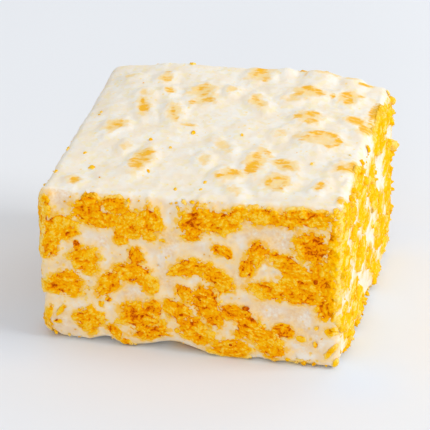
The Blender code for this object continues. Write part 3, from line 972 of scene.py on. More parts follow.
    def shares(
        self, skin: NuggetSkin, side: Side, nugget: Nugget, look: CerealLook, tone: float
    ) -> dict[str, Array]:
        """What the material reads at each point of a nugget's upper surface.

        Args:
            skin: The surface.
            side: The side that it shows on.
            nugget: The nugget.
            look: What the side's cereal looks like.
            tone: How much paler than most this nugget is, about 0.

        Returns:
            Shares of 0 to 1 for each point: relief, from hollow to tip, which the material paints from
            toasted dark with painted shade to pale with painted highlight; film, how much marshmallow
            lies on it; and how much yellower it is painted where it faces the lamps, a painted light.
        """
        small = min(1.0, nugget.least / self.full_size)
        usual = self.crumble.usual
        relief = usual + look.contrast * (skin.share - usual) + tone + self.small_pale * (1.0 - small)
        cloud = LatticeNoise.smooth(skin.grain, self.cloud_pitch, nugget.number + 12)
        relief = relief + self.cloud * cloud
        # Painted shade: darker towards the upper edge, partly toasted crust and partly shade under the
        # overhang, and darker in the seams where nuggets meet.
        above = (skin.up - nugget.up) / (nugget.height / 2) * side.axes[1][2]
        shade = self.top_shade * eased((above - 0.3) / 0.8)
        edge = self.seam_shade * skin.seam * eased((skin.radius - 0.6) / 0.3)
        film = eased((0.25 - skin.clear) / 0.32) * eased((skin.radius - 0.56) / 0.22)
        film = film * (1.0 - skin.seam)
        patchy = LatticeNoise.rough(skin.held * np.array((1.0, 0.6, 1.0)), self.patch_pitch, Seed.PATCH)
        rounding = eased((np.abs(skin.outward @ side.axes[0]) - 0.04) / 0.4)
        film = np.maximum(film, np.maximum(look.smear, rounding) * eased((patchy + 0.1) / 0.36))
        film = np.maximum(film, self.small_film * (1.0 - small))
        # Painted light: yellower where the surface faces the lamps on the right, and near the lit right
        # edge.
        lit_yellow = look.lit_yellow + self.painted_key_yellow * eased((skin.outward[:, 0] - 0.02) / 0.5)
        lit_yellow = lit_yellow + self.painted_corner_yellow * eased((skin.held[:, 0] - 32.5) / 5.0)
        relief = np.clip(relief - shade - edge, 0.0, 1.0)
        return {"relief": relief, "film": film, "lit_yellow": np.minimum(lit_yellow, 1.0)}

    @staticmethod
    def crowding(nugget: Nugget, others: Nuggets, across: Array, up: Array) -> Array:
        """How far places of a nugget lie inside its neighbours.

        Args:
            nugget: The nugget.
            others: The nuggets of its side, itself among them.
            across: Places along the side's first axis.
            up: Places along its second.

        Returns:
            One share of 0 to 1 for each place.
        """
        found = np.zeros(len(across))
        for other in others:
            apart = math.hypot(other.across - nugget.across, other.up - nugget.up)
            reach = max(nugget.width, nugget.height) + max(other.width, other.height)
            if other == nugget or apart > reach:
                continue
            found = np.maximum(found, eased((1.35 - other.radius(across, up)) / 0.35) * other.shown)
        return found

    def fibres(self, nugget: Nugget, across: Array, up: Array) -> Array:
        """Places along, across and out of a nugget's fibres, which run roughly along it.

        Args:
            nugget: The nugget.
            across: Places along the side's first axis.
            up: Places along its second.

        Returns:
            The places, one row each.
        """
        own = (nugget.number % 101) / 101.0 - 0.5
        upright = 90.0 if nugget.height > nugget.width * 1.15 else 0.0
        slant = math.radians(nugget.turn + upright + self.slant * own)
        along, beside = turned(across, up, -slant)
        return np.stack([along, beside, np.full_like(along, nugget.number * 7.3)], axis=1)


@dataclass(frozen=True)
class Crumb:
    """A single angular crumb. A toasted one is rounder than the rest, by toast_smooths."""

    form: BlockForm
    knob: Knob
    roughness: float = 0.75
    rough_pitch: float = 0.8
    toast_smooths: float = 0.8
    usual_relief: float = 0.75
    relief_gain: float = 0.6
    # Painted light: a crumb is painted yellower the more it faces the lamps at the right and above.
    least_painted_light: float = 0.2
    painted_light_start: float = 0.1
    painted_light_range: float = 0.6

    def add(
        self,
        parts: MeshParts,
        side: Side,
        place: Place,
        sizes: Place,
        turn: float,
        film: float,
        draw: random.Random,
        toast: float = 0.0,
    ) -> None:
        """Shapes a crumb and adds it to a mesh.

        Args:
            parts: The mesh that it goes into.
            side: The side that it lies on.
            place: Where its middle is along the side's axes: across, up and above the skin.
            sizes: Its half sizes along, across and out.
            turn: How far it is turned on the side, in radians.
            film: How much of it has marshmallow on, 0 to 1.
            draw: Where its chances come from.
            toast: How dark it is toasted, 0 to 1.
        """
        seed = draw.randrange(1, 100000)
        rough = self.roughness * (1.0 - self.toast_smooths * toast)
        lumpy = 1.0 + rough * LatticeNoise.smooth(self.knob.points, self.rough_pitch, seed)
        along, beside, out = (self.knob.points * lumpy[:, None] * np.array(sizes)).T
        x, y = turned(along, beside, turn)
        middle = self.form.on_side(side, *(np.array([value]) for value in place))
        held, outward = self.form.skin(middle, place[2])
        second = side.axes[1] - outward[0] * (side.axes[1] @ outward[0])
        second = second / np.linalg.norm(second)
        first = np.cross(second, outward[0])
        points = held + x[:, None] * first + y[:, None] * second + out[:, None] * outward
        # Bumps are painted paler and dips darker: partly painted highlight and painted shade.
        relief = self.usual_relief + self.relief_gain * (lumpy - 1.0)
        # Painted light: yellower as the crumb faces the right-hand lamps and the light from above.
        facing = max(float(outward[0, 0]), float(outward[0, 2]))
        painted_light = min(1.0, max(0.0, (facing - self.painted_light_start) / self.painted_light_range))
        lit_yellow = (1.0 - toast) * draw.uniform(0.3, 1.0) * (self.least_painted_light + (1.0 - self.least_painted_light) * painted_light)
        values = {
            "relief": np.clip(relief, 0.0, 1.0) * (1.0 - toast),
            "film": np.full(len(points), film),
            "lit_yellow": np.full(len(points), lit_yellow),
        }
        parts.add(self.form.settle(points) * MM, np.zeros((0, 4), int), self.knob.triangles, values)


@dataclass
class CerealSide:
    """The cereal that shows on one side of the block.

    In millimetres, proud is how far a bare nugget stands above the skin, buried how much lower a
    covered one is, uneven how much they differ, and crumb_depth how deep their crumbs sit.
    crumbs_each is how many a nugget of full_area square millimetres or more has.
    """

    side: Side
    nuggets: Nuggets
    maker: NuggetMaker
    proud: float = 0.85
    buried: float = 0.5
    look: CerealLook = CerealLook()
    crumbs_each: float = 4.0
    crumb_sizes: tuple[float, float] = (0.2, 0.55)
    crumb_depth: float = 0.3
    full_area: float = 30.0
    uneven: float = 0.0
    flecks: Nuggets = ()
    fleck_proud: float = 0.12
    fleck_height: float = 0.3
    seed: int = 0

    def build(self, finish: Material) -> bpy.types.Object:
        """Shapes every nugget of the side, the crumbs about its edge, and the flecks.

        Args:
            finish: The cereal's material.

        Returns:
            The piece.
        """
        parts = MeshParts()
        draw = random.Random(self.seed)
        crumb = Crumb(self.maker.form, Knob.ball(2))
        for nugget in self.nuggets:
            height = self.proud - self.buried * (1.0 - nugget.shown)
            height += self.uneven * draw.uniform(-1.0, 1.0)
            # A lit side's cereal is painted paler here, a painted light.
            tone = self.look.bright + self.look.vary * draw.uniform(-1.0, 1.0)
            self.maker.add(parts, self.side, nugget, self.nuggets, height, self.look, tone)
            area = min(1.0, nugget.width * nugget.height / self.full_area)
            for _ in range(round(self.crumbs_each * nugget.shown * area)):
                self.add_crumb(parts, nugget, height, crumb, draw)
        for fleck in self.flecks:
            place = (fleck.across, fleck.up, self.proud + self.fleck_proud)
            sizes = (fleck.width / 2, fleck.height / 2, self.fleck_height)
            crumb.add(parts, self.side, place, sizes, math.radians(fleck.turn), 0.0, draw, toast=1.0)
        return parts.piece(f"{self.side.name.lower()}_cereal", finish)

    def add_crumb(
        self, parts: MeshParts, nugget: Nugget, height: float, crumb: Crumb, draw: random.Random
    ) -> None:
        """Adds a crumb at a nugget's edge.

        Args:
            parts: The mesh that it goes into.
            nugget: The nugget that it broke off.
            height: How far the nugget stands above the skin.
            crumb: What shapes it.
            draw: Where its chances come from.
        """
        angle = draw.uniform(0.0, 2.0 * math.pi)
        far = draw.uniform(0.8, 1.15)
        along = math.cos(angle) * nugget.width / 2 * far
        across, up = nugget.placed(along, math.sin(angle) * nugget.height / 2 * far)
        size = draw.uniform(*self.crumb_sizes)
        sizes = tuple(size * draw.uniform(0.5, 1.4) for _ in range(3))
        turn = draw.uniform(0.0, math.pi)
        place = (across, up, height - self.crumb_depth)
        crumb.add(parts, self.side, place, sizes, turn, draw.uniform(0.4, 1.0), draw)


@dataclass(frozen=True)
class RimRun:
    """Crumbs along a rim: the side, where they start and end on it, how many and how large."""

    side: Side
    start: tuple[float, float]
    end: tuple[float, float]
    count: int
    largest: float = 0.8


RIM_RUNS = (
    RimRun(Side.RIGHT, (34.4, 1.0), (34.4, 43.0), 50, 1.4),
    RimRun(Side.RIGHT, (34.0, 8.0), (34.0, 38.0), 10, 1.9),
    RimRun(Side.RIGHT, (-33.6, 1.0), (-33.6, 42.0), 12),
    RimRun(Side.RIGHT, (-33.0, 0.8), (33.0, 0.8), 30, 1.3),
    RimRun(Side.RIGHT, (-33.0, 42.0), (33.0, 42.6), 50),
    RimRun(Side.FRONT, (-37.2, 1.0), (-37.2, 42.0), 22),
    RimRun(Side.FRONT, (-37.0, 0.6), (37.0, 0.6), 22),
    RimRun(Side.FRONT, (-37.0, 42.2), (37.0, 42.2), 18),
    RimRun(Side.BACK, (-37.2, 1.0), (-37.2, 42.0), 16),
    RimRun(Side.BACK, (37.2, 1.0), (37.2, 42.0), 14),
    RimRun(Side.BACK, (-37.0, 0.6), (37.0, 0.6), 14),
    RimRun(Side.LEFT, (-33.0, 0.6), (33.0, 0.6), 14),
)


@dataclass
class LooseCrumbs:
    """The small crumbs that lie all over the block and roughen its rims, in millimetres.

    least and extra are the smallest size and how much larger some are, seat how high their middles
    are, and coat how much marshmallow is on them. Crumbs on top lie lower and are flatter. In the
    runs, rim_least is the smallest size, and rim_stray how far they lie from the run's line.
    """

    form: BlockForm
    counts: dict[Side, int]
    runs: tuple[RimRun, ...]
    least: float = 0.12
    extra: float = 0.26
    clearance: float = 0.6
    seat: float = 0.08
    seat_gain: float = 0.3
    coat: tuple[float, float] = (0.6, 1.0)
    top_seat: float = 0.04
    top_coat: tuple[float, float] = (0.6, 1.3)
    top_flatness: float = 0.3
    rim_least: float = 0.25
    rim_stray: float = 1.3
    rim_lowest: float = 0.5
    rim_seat: float = 0.1
    rim_seat_gain: float = 0.4
    seed: int = 71

    def build(self, finish: Material) -> bpy.types.Object:
        """Scatters the crumbs.

        Args:
            finish: The cereal's material.

        Returns:
            The piece.
        """
        parts = MeshParts()
        draw = random.Random(self.seed)
        crumb = Crumb(self.form, Knob.ball(1))
        lump = Crumb(self.form, Knob.ball(2))
        for side, count in self.counts.items():
            on_top = side is Side.TOP
            flatness, coat = (self.top_flatness, self.top_coat) if on_top else (1.0, self.coat)
            half_width = float(np.abs(side.axes[0]) @ self.form.half)
            low, high = self.form.extent(side)
            for _ in range(count):
                across = draw.uniform(-half_width, half_width)
                up = draw.uniform(low + self.clearance, high)
                size = self.least + self.extra * draw.random() ** 2
                sizes = tuple(size * draw.uniform(0.6, 1.5) * share for share in (1.0, 1.0, flatness))
                place = (across, up, self.top_seat if on_top else self.seat + self.seat_gain * size)
                turn = draw.uniform(0.0, math.pi)
                crumb.add(parts, side, place, sizes, turn, draw.uniform(*coat), draw)
        for run in self.runs:
            self.add_run(parts, run, lump, draw)
        return parts.piece("loose_crumbs", finish)

    def add_run(self, parts: MeshParts, run: RimRun, crumb: Crumb, draw: random.Random) -> None:
        """Adds the crumbs of one rim.

        Args:
            parts: The mesh that they go into.
            run: Where they lie.
            crumb: What shapes them.
            draw: Where their chances come from.
        """
        for _ in range(run.count):
            share = draw.random()
            across, up = (
                start + (end - start) * share + draw.uniform(-self.rim_stray, self.rim_stray)
                for start, end in zip(run.start, run.end)
            )
            size = draw.uniform(self.rim_least, run.largest) * (0.4 + 0.6 * draw.random())
            sizes = tuple(size * draw.uniform(0.5, 1.4) for _ in range(3))
            place = (across, max(self.rim_lowest, up), self.rim_seat + self.rim_seat_gain * size)
            turn = draw.uniform(0.0, math.pi)
            crumb.add(parts, run.side, place, sizes, turn, draw.uniform(0.3, 1.0), draw)


@dataclass(frozen=True)
class Bank:
    """How marshmallow lies about and over the nuggets of a side, in millimetres.

    level is its height at a nugget's edge, reach how far from there it falls to the skin,
    sink how far it drops under a bare nugget, and glow how far cereal shows through it. cut is
    how see-through the knife left it, 0 to 1.
    """

    level: float = 0.7
    reach: float = 2.2
    sink: float = 1.4
    glow: float = 1.7
    cut: float = 1.0


@dataclass
class MarshmallowBlock:
    """The marshmallow: one closed skin that swells between the nuggets and over them.

    In millimetres, cell is the pitch of its mesh, film how thick it lies over the true box, and
    foot how far it stays off the floor, where only cereal lies flush. wobble and cloud fray the
    nuggets' shapes in it, and wander and fray those of the strokes.
    """

    form: BlockForm
    cereal: dict[Side, Nuggets]
    strokes: Nuggets
    dust: dict[Side, tuple[Spot, ...]]
    banks: dict[Side, Bank]
    outline: Outline = Outline()
    cell: float = 0.5
    film: float = 0.08
    foot: float = 0.06
    swell: float = 0.2
    swell_pitch: float = 7.0
    ripple: float = 0.08
    ripple_pitch: float = 1.7
    top_swell: float = 0.16
    top_swell_pitch: float = 3.6
    pit: float = 0.4
    pit_pitch: float = 2.6
    pit_start: float = 0.68
    pit_edge: float = 0.2
    wobble: float = 0.1
    wobble_pitch: float = 1.8
    cloud: float = 0.42
    cloud_pitch: float = 3.0
    wander: float = 0.5
    wander_pitch: float = 2.4
    fray: float = 0.3
    fray_pitch: float = 1.1
    floor_flatness: float = 0.85

    def lattice(self) -> tuple[Array, Array]:
        """The true box's surface as welded grids.

        Returns:
            Its points in millimetres, and its faces as rows of four point numbers.
        """
        counts = [max(2, round(size * 2 / self.cell)) for size in self.form.half]
        points, quads, first = [], [], 0
        for axis in range(3):
            u_axis, v_axis = (axis + 1) % 3, (axis + 2) % 3
            steps = [np.arange(counts[other] + 1) for other in (u_axis, v_axis)]
            u, v = np.meshgrid(*steps, indexing="ij")
            rows = np.arange(u.size).reshape(u.shape)
            faces = np.stack([rows[:-1, :-1], rows[1:, :-1], rows[1:, 1:], rows[:-1, 1:]], -1)
            faces = faces.reshape(-1, 4)
            for end in (0, counts[axis]):
                grid = np.zeros((u.size, 3), int)
                grid[:, axis] = end
                grid[:, u_axis] = u.ravel()
                grid[:, v_axis] = v.ravel()
                points.append(grid)
                quads.append((faces if end else faces[:, ::-1]) + first)
                first += u.size
        merged, place = np.unique(np.concatenate(points), axis=0, return_inverse=True)
        spacing = self.form.half * 2 / np.array(counts)
        corners = merged * spacing - self.form.half + self.form.centre
        return corners, place.reshape(-1)[np.concatenate(quads)]

    def nearness(self, side: Side, points: Array) -> dict[str, Array]:
        """How the nuggets of a side press on the skin and colour it.

        Args:
            side: The side of the block.
            points: Skin places, one row each.

        Returns:
            Shares of 0 to 1 for each place: bank, how near the rim of a nugget it is; bare,
            how far inside a bare nugget; glow, how much cereal shows through from nearby;
            and veil, how far over a covered nugget.
        """
        axes = side.axes
        bank = self.banks[side]
        across, up = points @ axes[0], points @ axes[1]
        wobble = self.wobble * LatticeNoise.rough(points, self.wobble_pitch, Seed.EDGE)
        cloud = self.cloud * LatticeNoise.rough(points, self.cloud_pitch, Seed.CLOUD)
        found = {name: np.zeros(len(points)) for name in ("bank", "bare", "glow", "veil")}
        for nugget in self.cereal[side]:
            along, beside = nugget.local(across, up)
            least = nugget.least
            plain = np.hypot(along / (nugget.width / 2), beside / (nugget.height / 2))
            near = np.flatnonzero((plain - 1.3) * least / 2 < max(bank.reach, 4.0 * bank.glow))
            if len(near) == 0:
                continue
            angle = np.arctan2(beside[near] / nugget.height, along[near] / nugget.width)
            radius = plain[near] / self.outline.reach(angle, nugget) + wobble[near]
            gap = (radius - 1.0) * least / 2
            body = min(1.0, least / 3.0)
            shares = {
                "bank": eased(1.0 - gap / bank.reach) * (0.4 + 0.6 * body),
                "bare": nugget.shown * eased((0.8 - radius) / 0.3),
                "glow": np.exp(-np.maximum(gap - 0.25, 0.0) / bank.glow) * (0.3 + 0.7 * body),
                "veil": eased((1.55 - radius - cloud[near]) / 1.15) * (0.45 + 0.55 * nugget.shown),
            }
            for name, share in shares.items():
                found[name][near] = np.maximum(found[name][near], share)
        return found

    def stroke_share(self, points: Array) -> Array:
        """How strongly cereal shows through the upper film at places.

        Args:
            points: Skin places, one row each.

        Returns:
            One share of 0 to 1 for each place.
        """
        across, up = (
            points[:, axis] + self.wander * LatticeNoise.rough(points, self.wander_pitch, Seed.WANDER + axis)
            for axis in range(2)
        )
        fray = self.fray * LatticeNoise.smooth(points, self.fray_pitch, Seed.FRAY)
        found = np.zeros(len(points))
        for stroke in self.strokes:
            radius = stroke.radius(across, up)
            found = np.maximum(found, eased((1.9 - radius - fray) / 1.5) * stroke.shown)
        return found

    def dust_share(self, held: Array, outward: Array) -> Array:
        """How full of fine cereal dust the skin is.

        Args:
            held: Places on the true box's skin, one row each.
            outward: The skin's direction out at each.

        Returns:
            One share of 0 to 1 for each place.
        """
        dust = np.zeros(len(held))
        for side, spots in self.dust.items():
            facing = np.flatnonzero(outward @ side.axes[2] > 0.5)
            across, up = held[facing] @ side.axes[0], held[facing] @ side.axes[1]
            for spot in spots:
                gap = np.hypot(across - spot.across, up - spot.up) / spot.reach
                dust[facing] = np.maximum(dust[facing], eased((1.25 - gap) / 0.8))
        return dust

    def relief(self, held: Array, above: Array) -> Array:
        """How high the skin stands over the true box, away from nuggets.

        Args:
            held: Places on the true box's skin, one row each.
            above: How far each belongs to the upper face, 0 to 1.

        Returns:
            One height for each place.
        """
        swell = self.swell * LatticeNoise.rough(held, self.swell_pitch, Seed.SWELL)
        swell = swell + self.ripple * LatticeNoise.smooth(held, self.ripple_pitch, Seed.RIPPLE)
        top = LatticeNoise.rough(held, self.top_swell_pitch, Seed.TOP_SWELL)
        bubbles = LatticeNoise.grains(held, self.pit_pitch, Seed.BUBBLE)
        pits = (1.0 - above) * self.pit * eased((bubbles - self.pit_start) / self.pit_edge)
        return self.film + swell + above * self.top_swell * top - pits

    def build(self, finish: Material) -> bpy.types.Object:
        """Shapes the skin.

        Args:
            finish: The marshmallow's material.

        Returns:
            The piece.
        """
        box, quads = self.lattice()
        held, outward = self.form.skin(box, 0.0)
        above = eased((outward[:, 2] - 0.5) / 0.4)
        below = eased((-outward[:, 2] - 0.5) / 0.4)
        rise, drop, glow, veil, core, cut = (np.zeros(len(held)) for _ in range(6))
        for side, bank in self.banks.items():
            facing = np.flatnonzero(outward @ side.axes[2] > 0.3)
            found = self.nearness(side, held[facing])
            rise[facing] = np.maximum(rise[facing], (bank.level - self.film) * found["bank"])
            drop[facing] = np.maximum(drop[facing], bank.sink * found["bare"])
            glow[facing] = np.maximum(glow[facing], found["glow"])
            faced = eased((outward[facing] @ side.axes[2] - 0.3) / 0.5)
            cut[facing] = np.maximum(cut[facing], bank.cut * faced)
            if side is Side.TOP:
                veil[facing] = found["veil"] * above[facing]
                core[facing] = self.stroke_share(held[facing]) * above[facing]
                glow[facing] = np.maximum(glow[facing] * (1.0 - above[facing]), 0.5 * veil[facing])
        height = self.relief(held, above) + rise - drop
        height = height * (1.0 - self.floor_flatness * below)
        points = self.form.settle(held + outward * height[:, None])
        points[:, 2] = np.maximum(points[:, 2], self.foot)
        values = {
            "glow": glow,
            "veil": veil,
            "core": core,
            "dust": self.dust_share(held, outward),
            "cut": cut * (1.0 - above),
        }
        parts = MeshParts()
        parts.add(points * MM, quads, np.zeros((0, 3), int), values)
        return parts.piece("marshmallow", finish)


@dataclass(frozen=True)
class SideScatter:
    """The rule that spreads nuggets over a side that is out of sight, in millimetres and degrees.

    Two nuggets' middles are at least gap apart and a share, spacing, of both radii. margin is
    how far in from the side's edges middles stay, and headroom what is left free at the top.
    """

    form: BlockForm
    side: Side
    count: int
    seed: int
    tries: int = 900
    margin: float = 1.0
    spacing: float = 0.66
    gap: float = 1.0
    widths: tuple[float, float] = (5.0, 12.5)
    heights: tuple[float, float] = (4.2, 8.6)
    turns: tuple[float, float] = (-50.0, 50.0)
    headroom: float = 1.6

    def nuggets(self) -> Nuggets:
        """Draws the nuggets, each clear of most of its neighbours.

        Returns:
            As many as the count asks for, or fewer where the side is full.
        """
        half_width = float(np.abs(self.side.axes[0]) @ self.form.half)
        low, high = self.form.extent(self.side)
        draw = random.Random(self.seed)
        found: list[Nugget] = []
        for _ in range(self.tries):
            if len(found) == self.count:
                break
            width = draw.uniform(*self.widths)
            height = draw.uniform(*self.heights)
            across = draw.uniform(self.margin - half_width, half_width - self.margin)
            up = draw.uniform(low + self.margin, high - self.margin)
            turn = draw.uniform(*self.turns)
            up = min(up, high - self.headroom - height / 2)
            radius = (width + height) / 4
            clear = all(
                math.hypot(across - other.across, up - other.up)
                > self.spacing * (radius + (other.width + other.height) / 4) + self.gap
                for other in found
            )
            if clear:
                found.append(Nugget(across, up, width, height, turn))
        return tuple(found)


@dataclass(frozen=True)
class Tint:
    """A colour that comes in as a value rises from low to high, and how much of it at most."""

    colour: Colour
    low: float
    high: float
    most: float = 1.0


class Board:
    """A node tree with short ways to add and join its nodes."""

    def __init__(self, tree: bpy.types.NodeTree) -> None:
        """Takes the tree that nodes are added to."""
        self.tree = tree

    @classmethod
    def of_material(cls, name: str) -> tuple[Material, Board, bpy.types.Node]:
        """Starts a material.

        Args:
            name: The material's name.

        Returns:
            The material, its board and its shader.
        """
        made = bpy.data.materials.new(name)
        made.use_nodes = True
        return made, cls(made.node_tree), made.node_tree.nodes["Principled BSDF"]

    def node(self, kind: str, **settings: object) -> bpy.types.Node:
        """Adds a node.

        Args:
            kind: The node's type without its ShaderNode prefix.
            settings: Properties to set on it.

        Returns:
            The node.
        """
        made = self.tree.nodes.new(f"ShaderNode{kind}")
        for name, value in settings.items():
            setattr(made, name, value)
        return made

    def feed(self, socket: Socket, source: Source) -> None:
        """Links an output to an input, or sets a plain value on it.

        Args:
            socket: The input.
            source: The output or the value.
        """
        if isinstance(source, Socket):
            self.tree.links.new(source, socket)
        else:
            socket.default_value = source

    def sum(self, operation: str, *sources: Source) -> Socket:
        """Adds a sum, whose sources are outputs or plain numbers.

        Args:
            operation: The Math node's operation.
            sources: What it works on.

        Returns:
            Its result.
        """
        made = self.node("Math", operation=operation)
        for socket, source in zip(made.inputs, sources):
            self.feed(socket, source)
        return made.outputs[0]

    def fit(
        self, source: Source, low: float, high: float, out_low: float = 0.0, out_high: float = 1.0
    ) -> Socket:
        """Maps a value from one range to another, softly and held at the ends.

        Args:
            source: The value.
            low: Where the first range starts.
            high: Where it ends.
            out_low: What low becomes.
            out_high: What high becomes.

        Returns:
            The mapped value.
        """
        made = self.node("MapRange", interpolation_type="SMOOTHSTEP")
        for socket, value in zip(made.inputs, (source, low, high, out_low, out_high)):
            self.feed(socket, value)
        return made.outputs[0]

    def blend(self, share: Source, first: Source, second: Source) -> Socket:
        """Blends two colours.

        Args:
            share: How much of the second colour shows.
            first: A colour or an output.
            second: A colour or an output.

        Returns:
            The blended colour.
        """
        made = self.node("Mix", data_type="RGBA")
        self.feed(made.inputs[0], share)
        for socket, source in ((made.inputs[6], first), (made.inputs[7], second)):
            self.feed(socket, source if isinstance(source, Socket) else (*source, 1.0))
        return made.outputs[2]

    def tint(self, value: Source, under: Source, tint: Tint) -> Socket:
        """Lays a tint over the colour under it, where a value is high enough for it."""
        share = self.fit(value, tint.low, tint.high, 0.0, tint.most)
        return self.blend(share, under, tint.colour)

    def attribute(self, name: str) -> Socket:
        """The value that a mesh's points carry under a name."""
        return self.node("Attribute", attribute_name=name).outputs["Fac"]

    def texture(self, kind: str, place: Source, scale: Source, **values: float) -> bpy.types.Node:
        """Adds a texture.

        Args:
            kind: TexNoise or TexVoronoi.
            place: Where on the surface it is read.
            scale: How fine it is.
            values: Values for its other inputs, by their names in small letters.

        Returns:
            The texture's node.
        """
        made = self.node(kind)
        self.feed(made.inputs["Vector"], place)
        self.feed(made.inputs["Scale"], scale)
        for name, value in values.items():
            self.feed(made.inputs[name.title()], value)
        return made

    def bump(self, shader: bpy.types.Node, height: Socket, strength: float, distance: float) -> None:
        """Roughens a shader's surface.

        Args:
            shader: The shader.
            height: The output that says how high each place is.
            strength: How strong the effect is, 0 to 1.
            distance: How high the highest place is, in metres.
        """
        made = self.node("Bump")
        self.feed(made.inputs["Strength"], strength)
        self.feed(made.inputs["Distance"], distance)
        self.feed(made.inputs["Height"], height)
        self.feed(shader.inputs["Normal"], made.outputs["Normal"])


@dataclass(frozen=True)
class Group:
    """A node group as it is being built: its tree, its board, and its inputs and outputs."""

    tree: bpy.types.NodeTree
    board: Board
    given: bpy.types.Node
    result: bpy.types.Node

    @classmethod
    def start(cls, name: str, inputs: dict[str, float], outputs: tuple[str, ...]) -> Group:
        """Starts a group with float inputs and outputs.

        Args:
            name: The group's name.
            inputs: Its inputs with their values when left alone.
            outputs: Its outputs.

        Returns:
            The group.
        """
        tree = bpy.data.node_groups.new(name, "ShaderNodeTree")
        for label, value in inputs.items():
            socket = tree.interface.new_socket(label, in_out="INPUT", socket_type="NodeSocketFloat")
            socket.default_value = value
        for label in outputs:
            tree.interface.new_socket(label, in_out="OUTPUT", socket_type="NodeSocketFloat")
        return cls(tree, Board(tree), tree.nodes.new("NodeGroupInput"), tree.nodes.new("NodeGroupOutput"))

    def scale(self, label: str) -> Socket:
        """The texture scale that an input in metres asks for."""
        return self.board.sum("DIVIDE", 1.0, self.given.outputs[label])

    def give(self, label: str, source: Socket) -> None:
        """Joins an output of the group to what it puts out."""
        self.board.feed(self.result.inputs[label], source)


class Effects:
    """The shader node groups that several materials share."""

    def __init__(self) -> None:
        """Builds the groups once."""
        self.grain = self.build_grain()
        self.mottle = self.build_mottle()
        self.streaks = self.build_streaks()

    @staticmethod
    def build_grain() -> bpy.types.NodeTree:
        """Fine crumbs: a height, a mottle that goes with it, and a tone for each crumb.

        Returns:
            The group.
        """
        group = Group.start("crumb_grain", {"Size": 0.0005, "Depth": 0.5}, ("Height", "Mottle", "Tone"))
        board = group.board
        place = board.node("TexCoord").outputs["Object"]
        scale = group.scale("Size")
        cells = board.texture("TexVoronoi", place, scale)
        tone = board.node("SeparateColor")
        board.feed(tone.inputs[0], cells.outputs["Color"])
        coarser = board.sum("MULTIPLY", scale, 0.8)
        fine = board.texture("TexNoise", place, coarser, detail=3.0, roughness=0.6).outputs["Fac"]
        rounds = board.sum("SUBTRACT", 1.0, cells.outputs["Distance"])
        group.give("Height", board.sum("MULTIPLY_ADD", rounds, group.given.outputs["Depth"], fine))
        group.give("Mottle", board.fit(fine, 0.3, 0.7))
        group.give("Tone", tone.outputs[0])
        return group.tree

    @staticmethod
    def build_mottle() -> bpy.types.NodeTree:
        """Soft cloudy change over a surface, and small specks.

        Returns:
            The group.
        """
        group = Group.start(
            "soft_mottle", {"Size": 0.006, "Speck Size": 0.0015, "Speck Share": 0.1}, ("Cloud", "Speck")
        )
        board = group.board
        place = board.node("TexCoord").outputs["Object"]
        cloud = board.texture("TexNoise", place, group.scale("Size"), detail=2.5)
        group.give("Cloud", board.fit(cloud.outputs["Fac"], 0.32, 0.68))
        cells = board.texture("TexVoronoi", place, group.scale("Speck Size"))
        chance = board.node("SeparateColor")
        board.feed(chance.inputs[0], cells.outputs["Color"])
        chosen = board.sum("LESS_THAN", chance.outputs[0], group.given.outputs["Speck Share"])
        spot = board.fit(cells.outputs["Distance"], 0.34, 0.12)
        group.give("Speck", board.sum("MULTIPLY", chosen, spot))
        return group.tree

    @staticmethod
    def build_streaks() -> bpy.types.NodeTree:
        """Streaks that run across the block, one behind the other.

        Returns:
            The group.
        """
        group = Group.start("cross_streaks", {"Length": 0.004, "Pitch": 0.001}, ("Streak",))
        board = group.board
        place = board.node("SeparateXYZ")
        board.feed(place.inputs[0], board.node("TexCoord").outputs["Object"])
        joined = board.node("CombineXYZ")
        for axis, label in (("X", "Length"), ("Y", "Pitch")):
            step = board.sum("DIVIDE", place.outputs[axis], group.given.outputs[label])
            board.feed(joined.inputs[axis], step)
        noise = board.texture("TexNoise", joined.outputs[0], 1.0, detail=2.0)
        group.give("Streak", board.fit(noise.outputs["Fac"], 0.34, 0.66))
        return group.tree

    @staticmethod
    def place(board: Board, group: bpy.types.NodeTree, **values: float) -> bpy.types.Node:
        """Places a group in a material.

        Args:
            board: The material's board.
            group: The group.
            values: Its inputs' values, with _ for each space in their names.

        Returns:
            The group's node.
        """
        made = board.node("Group", node_tree=group)
        for name, value in values.items():
            made.inputs[name.replace("_", " ").title()].default_value = value
        return made


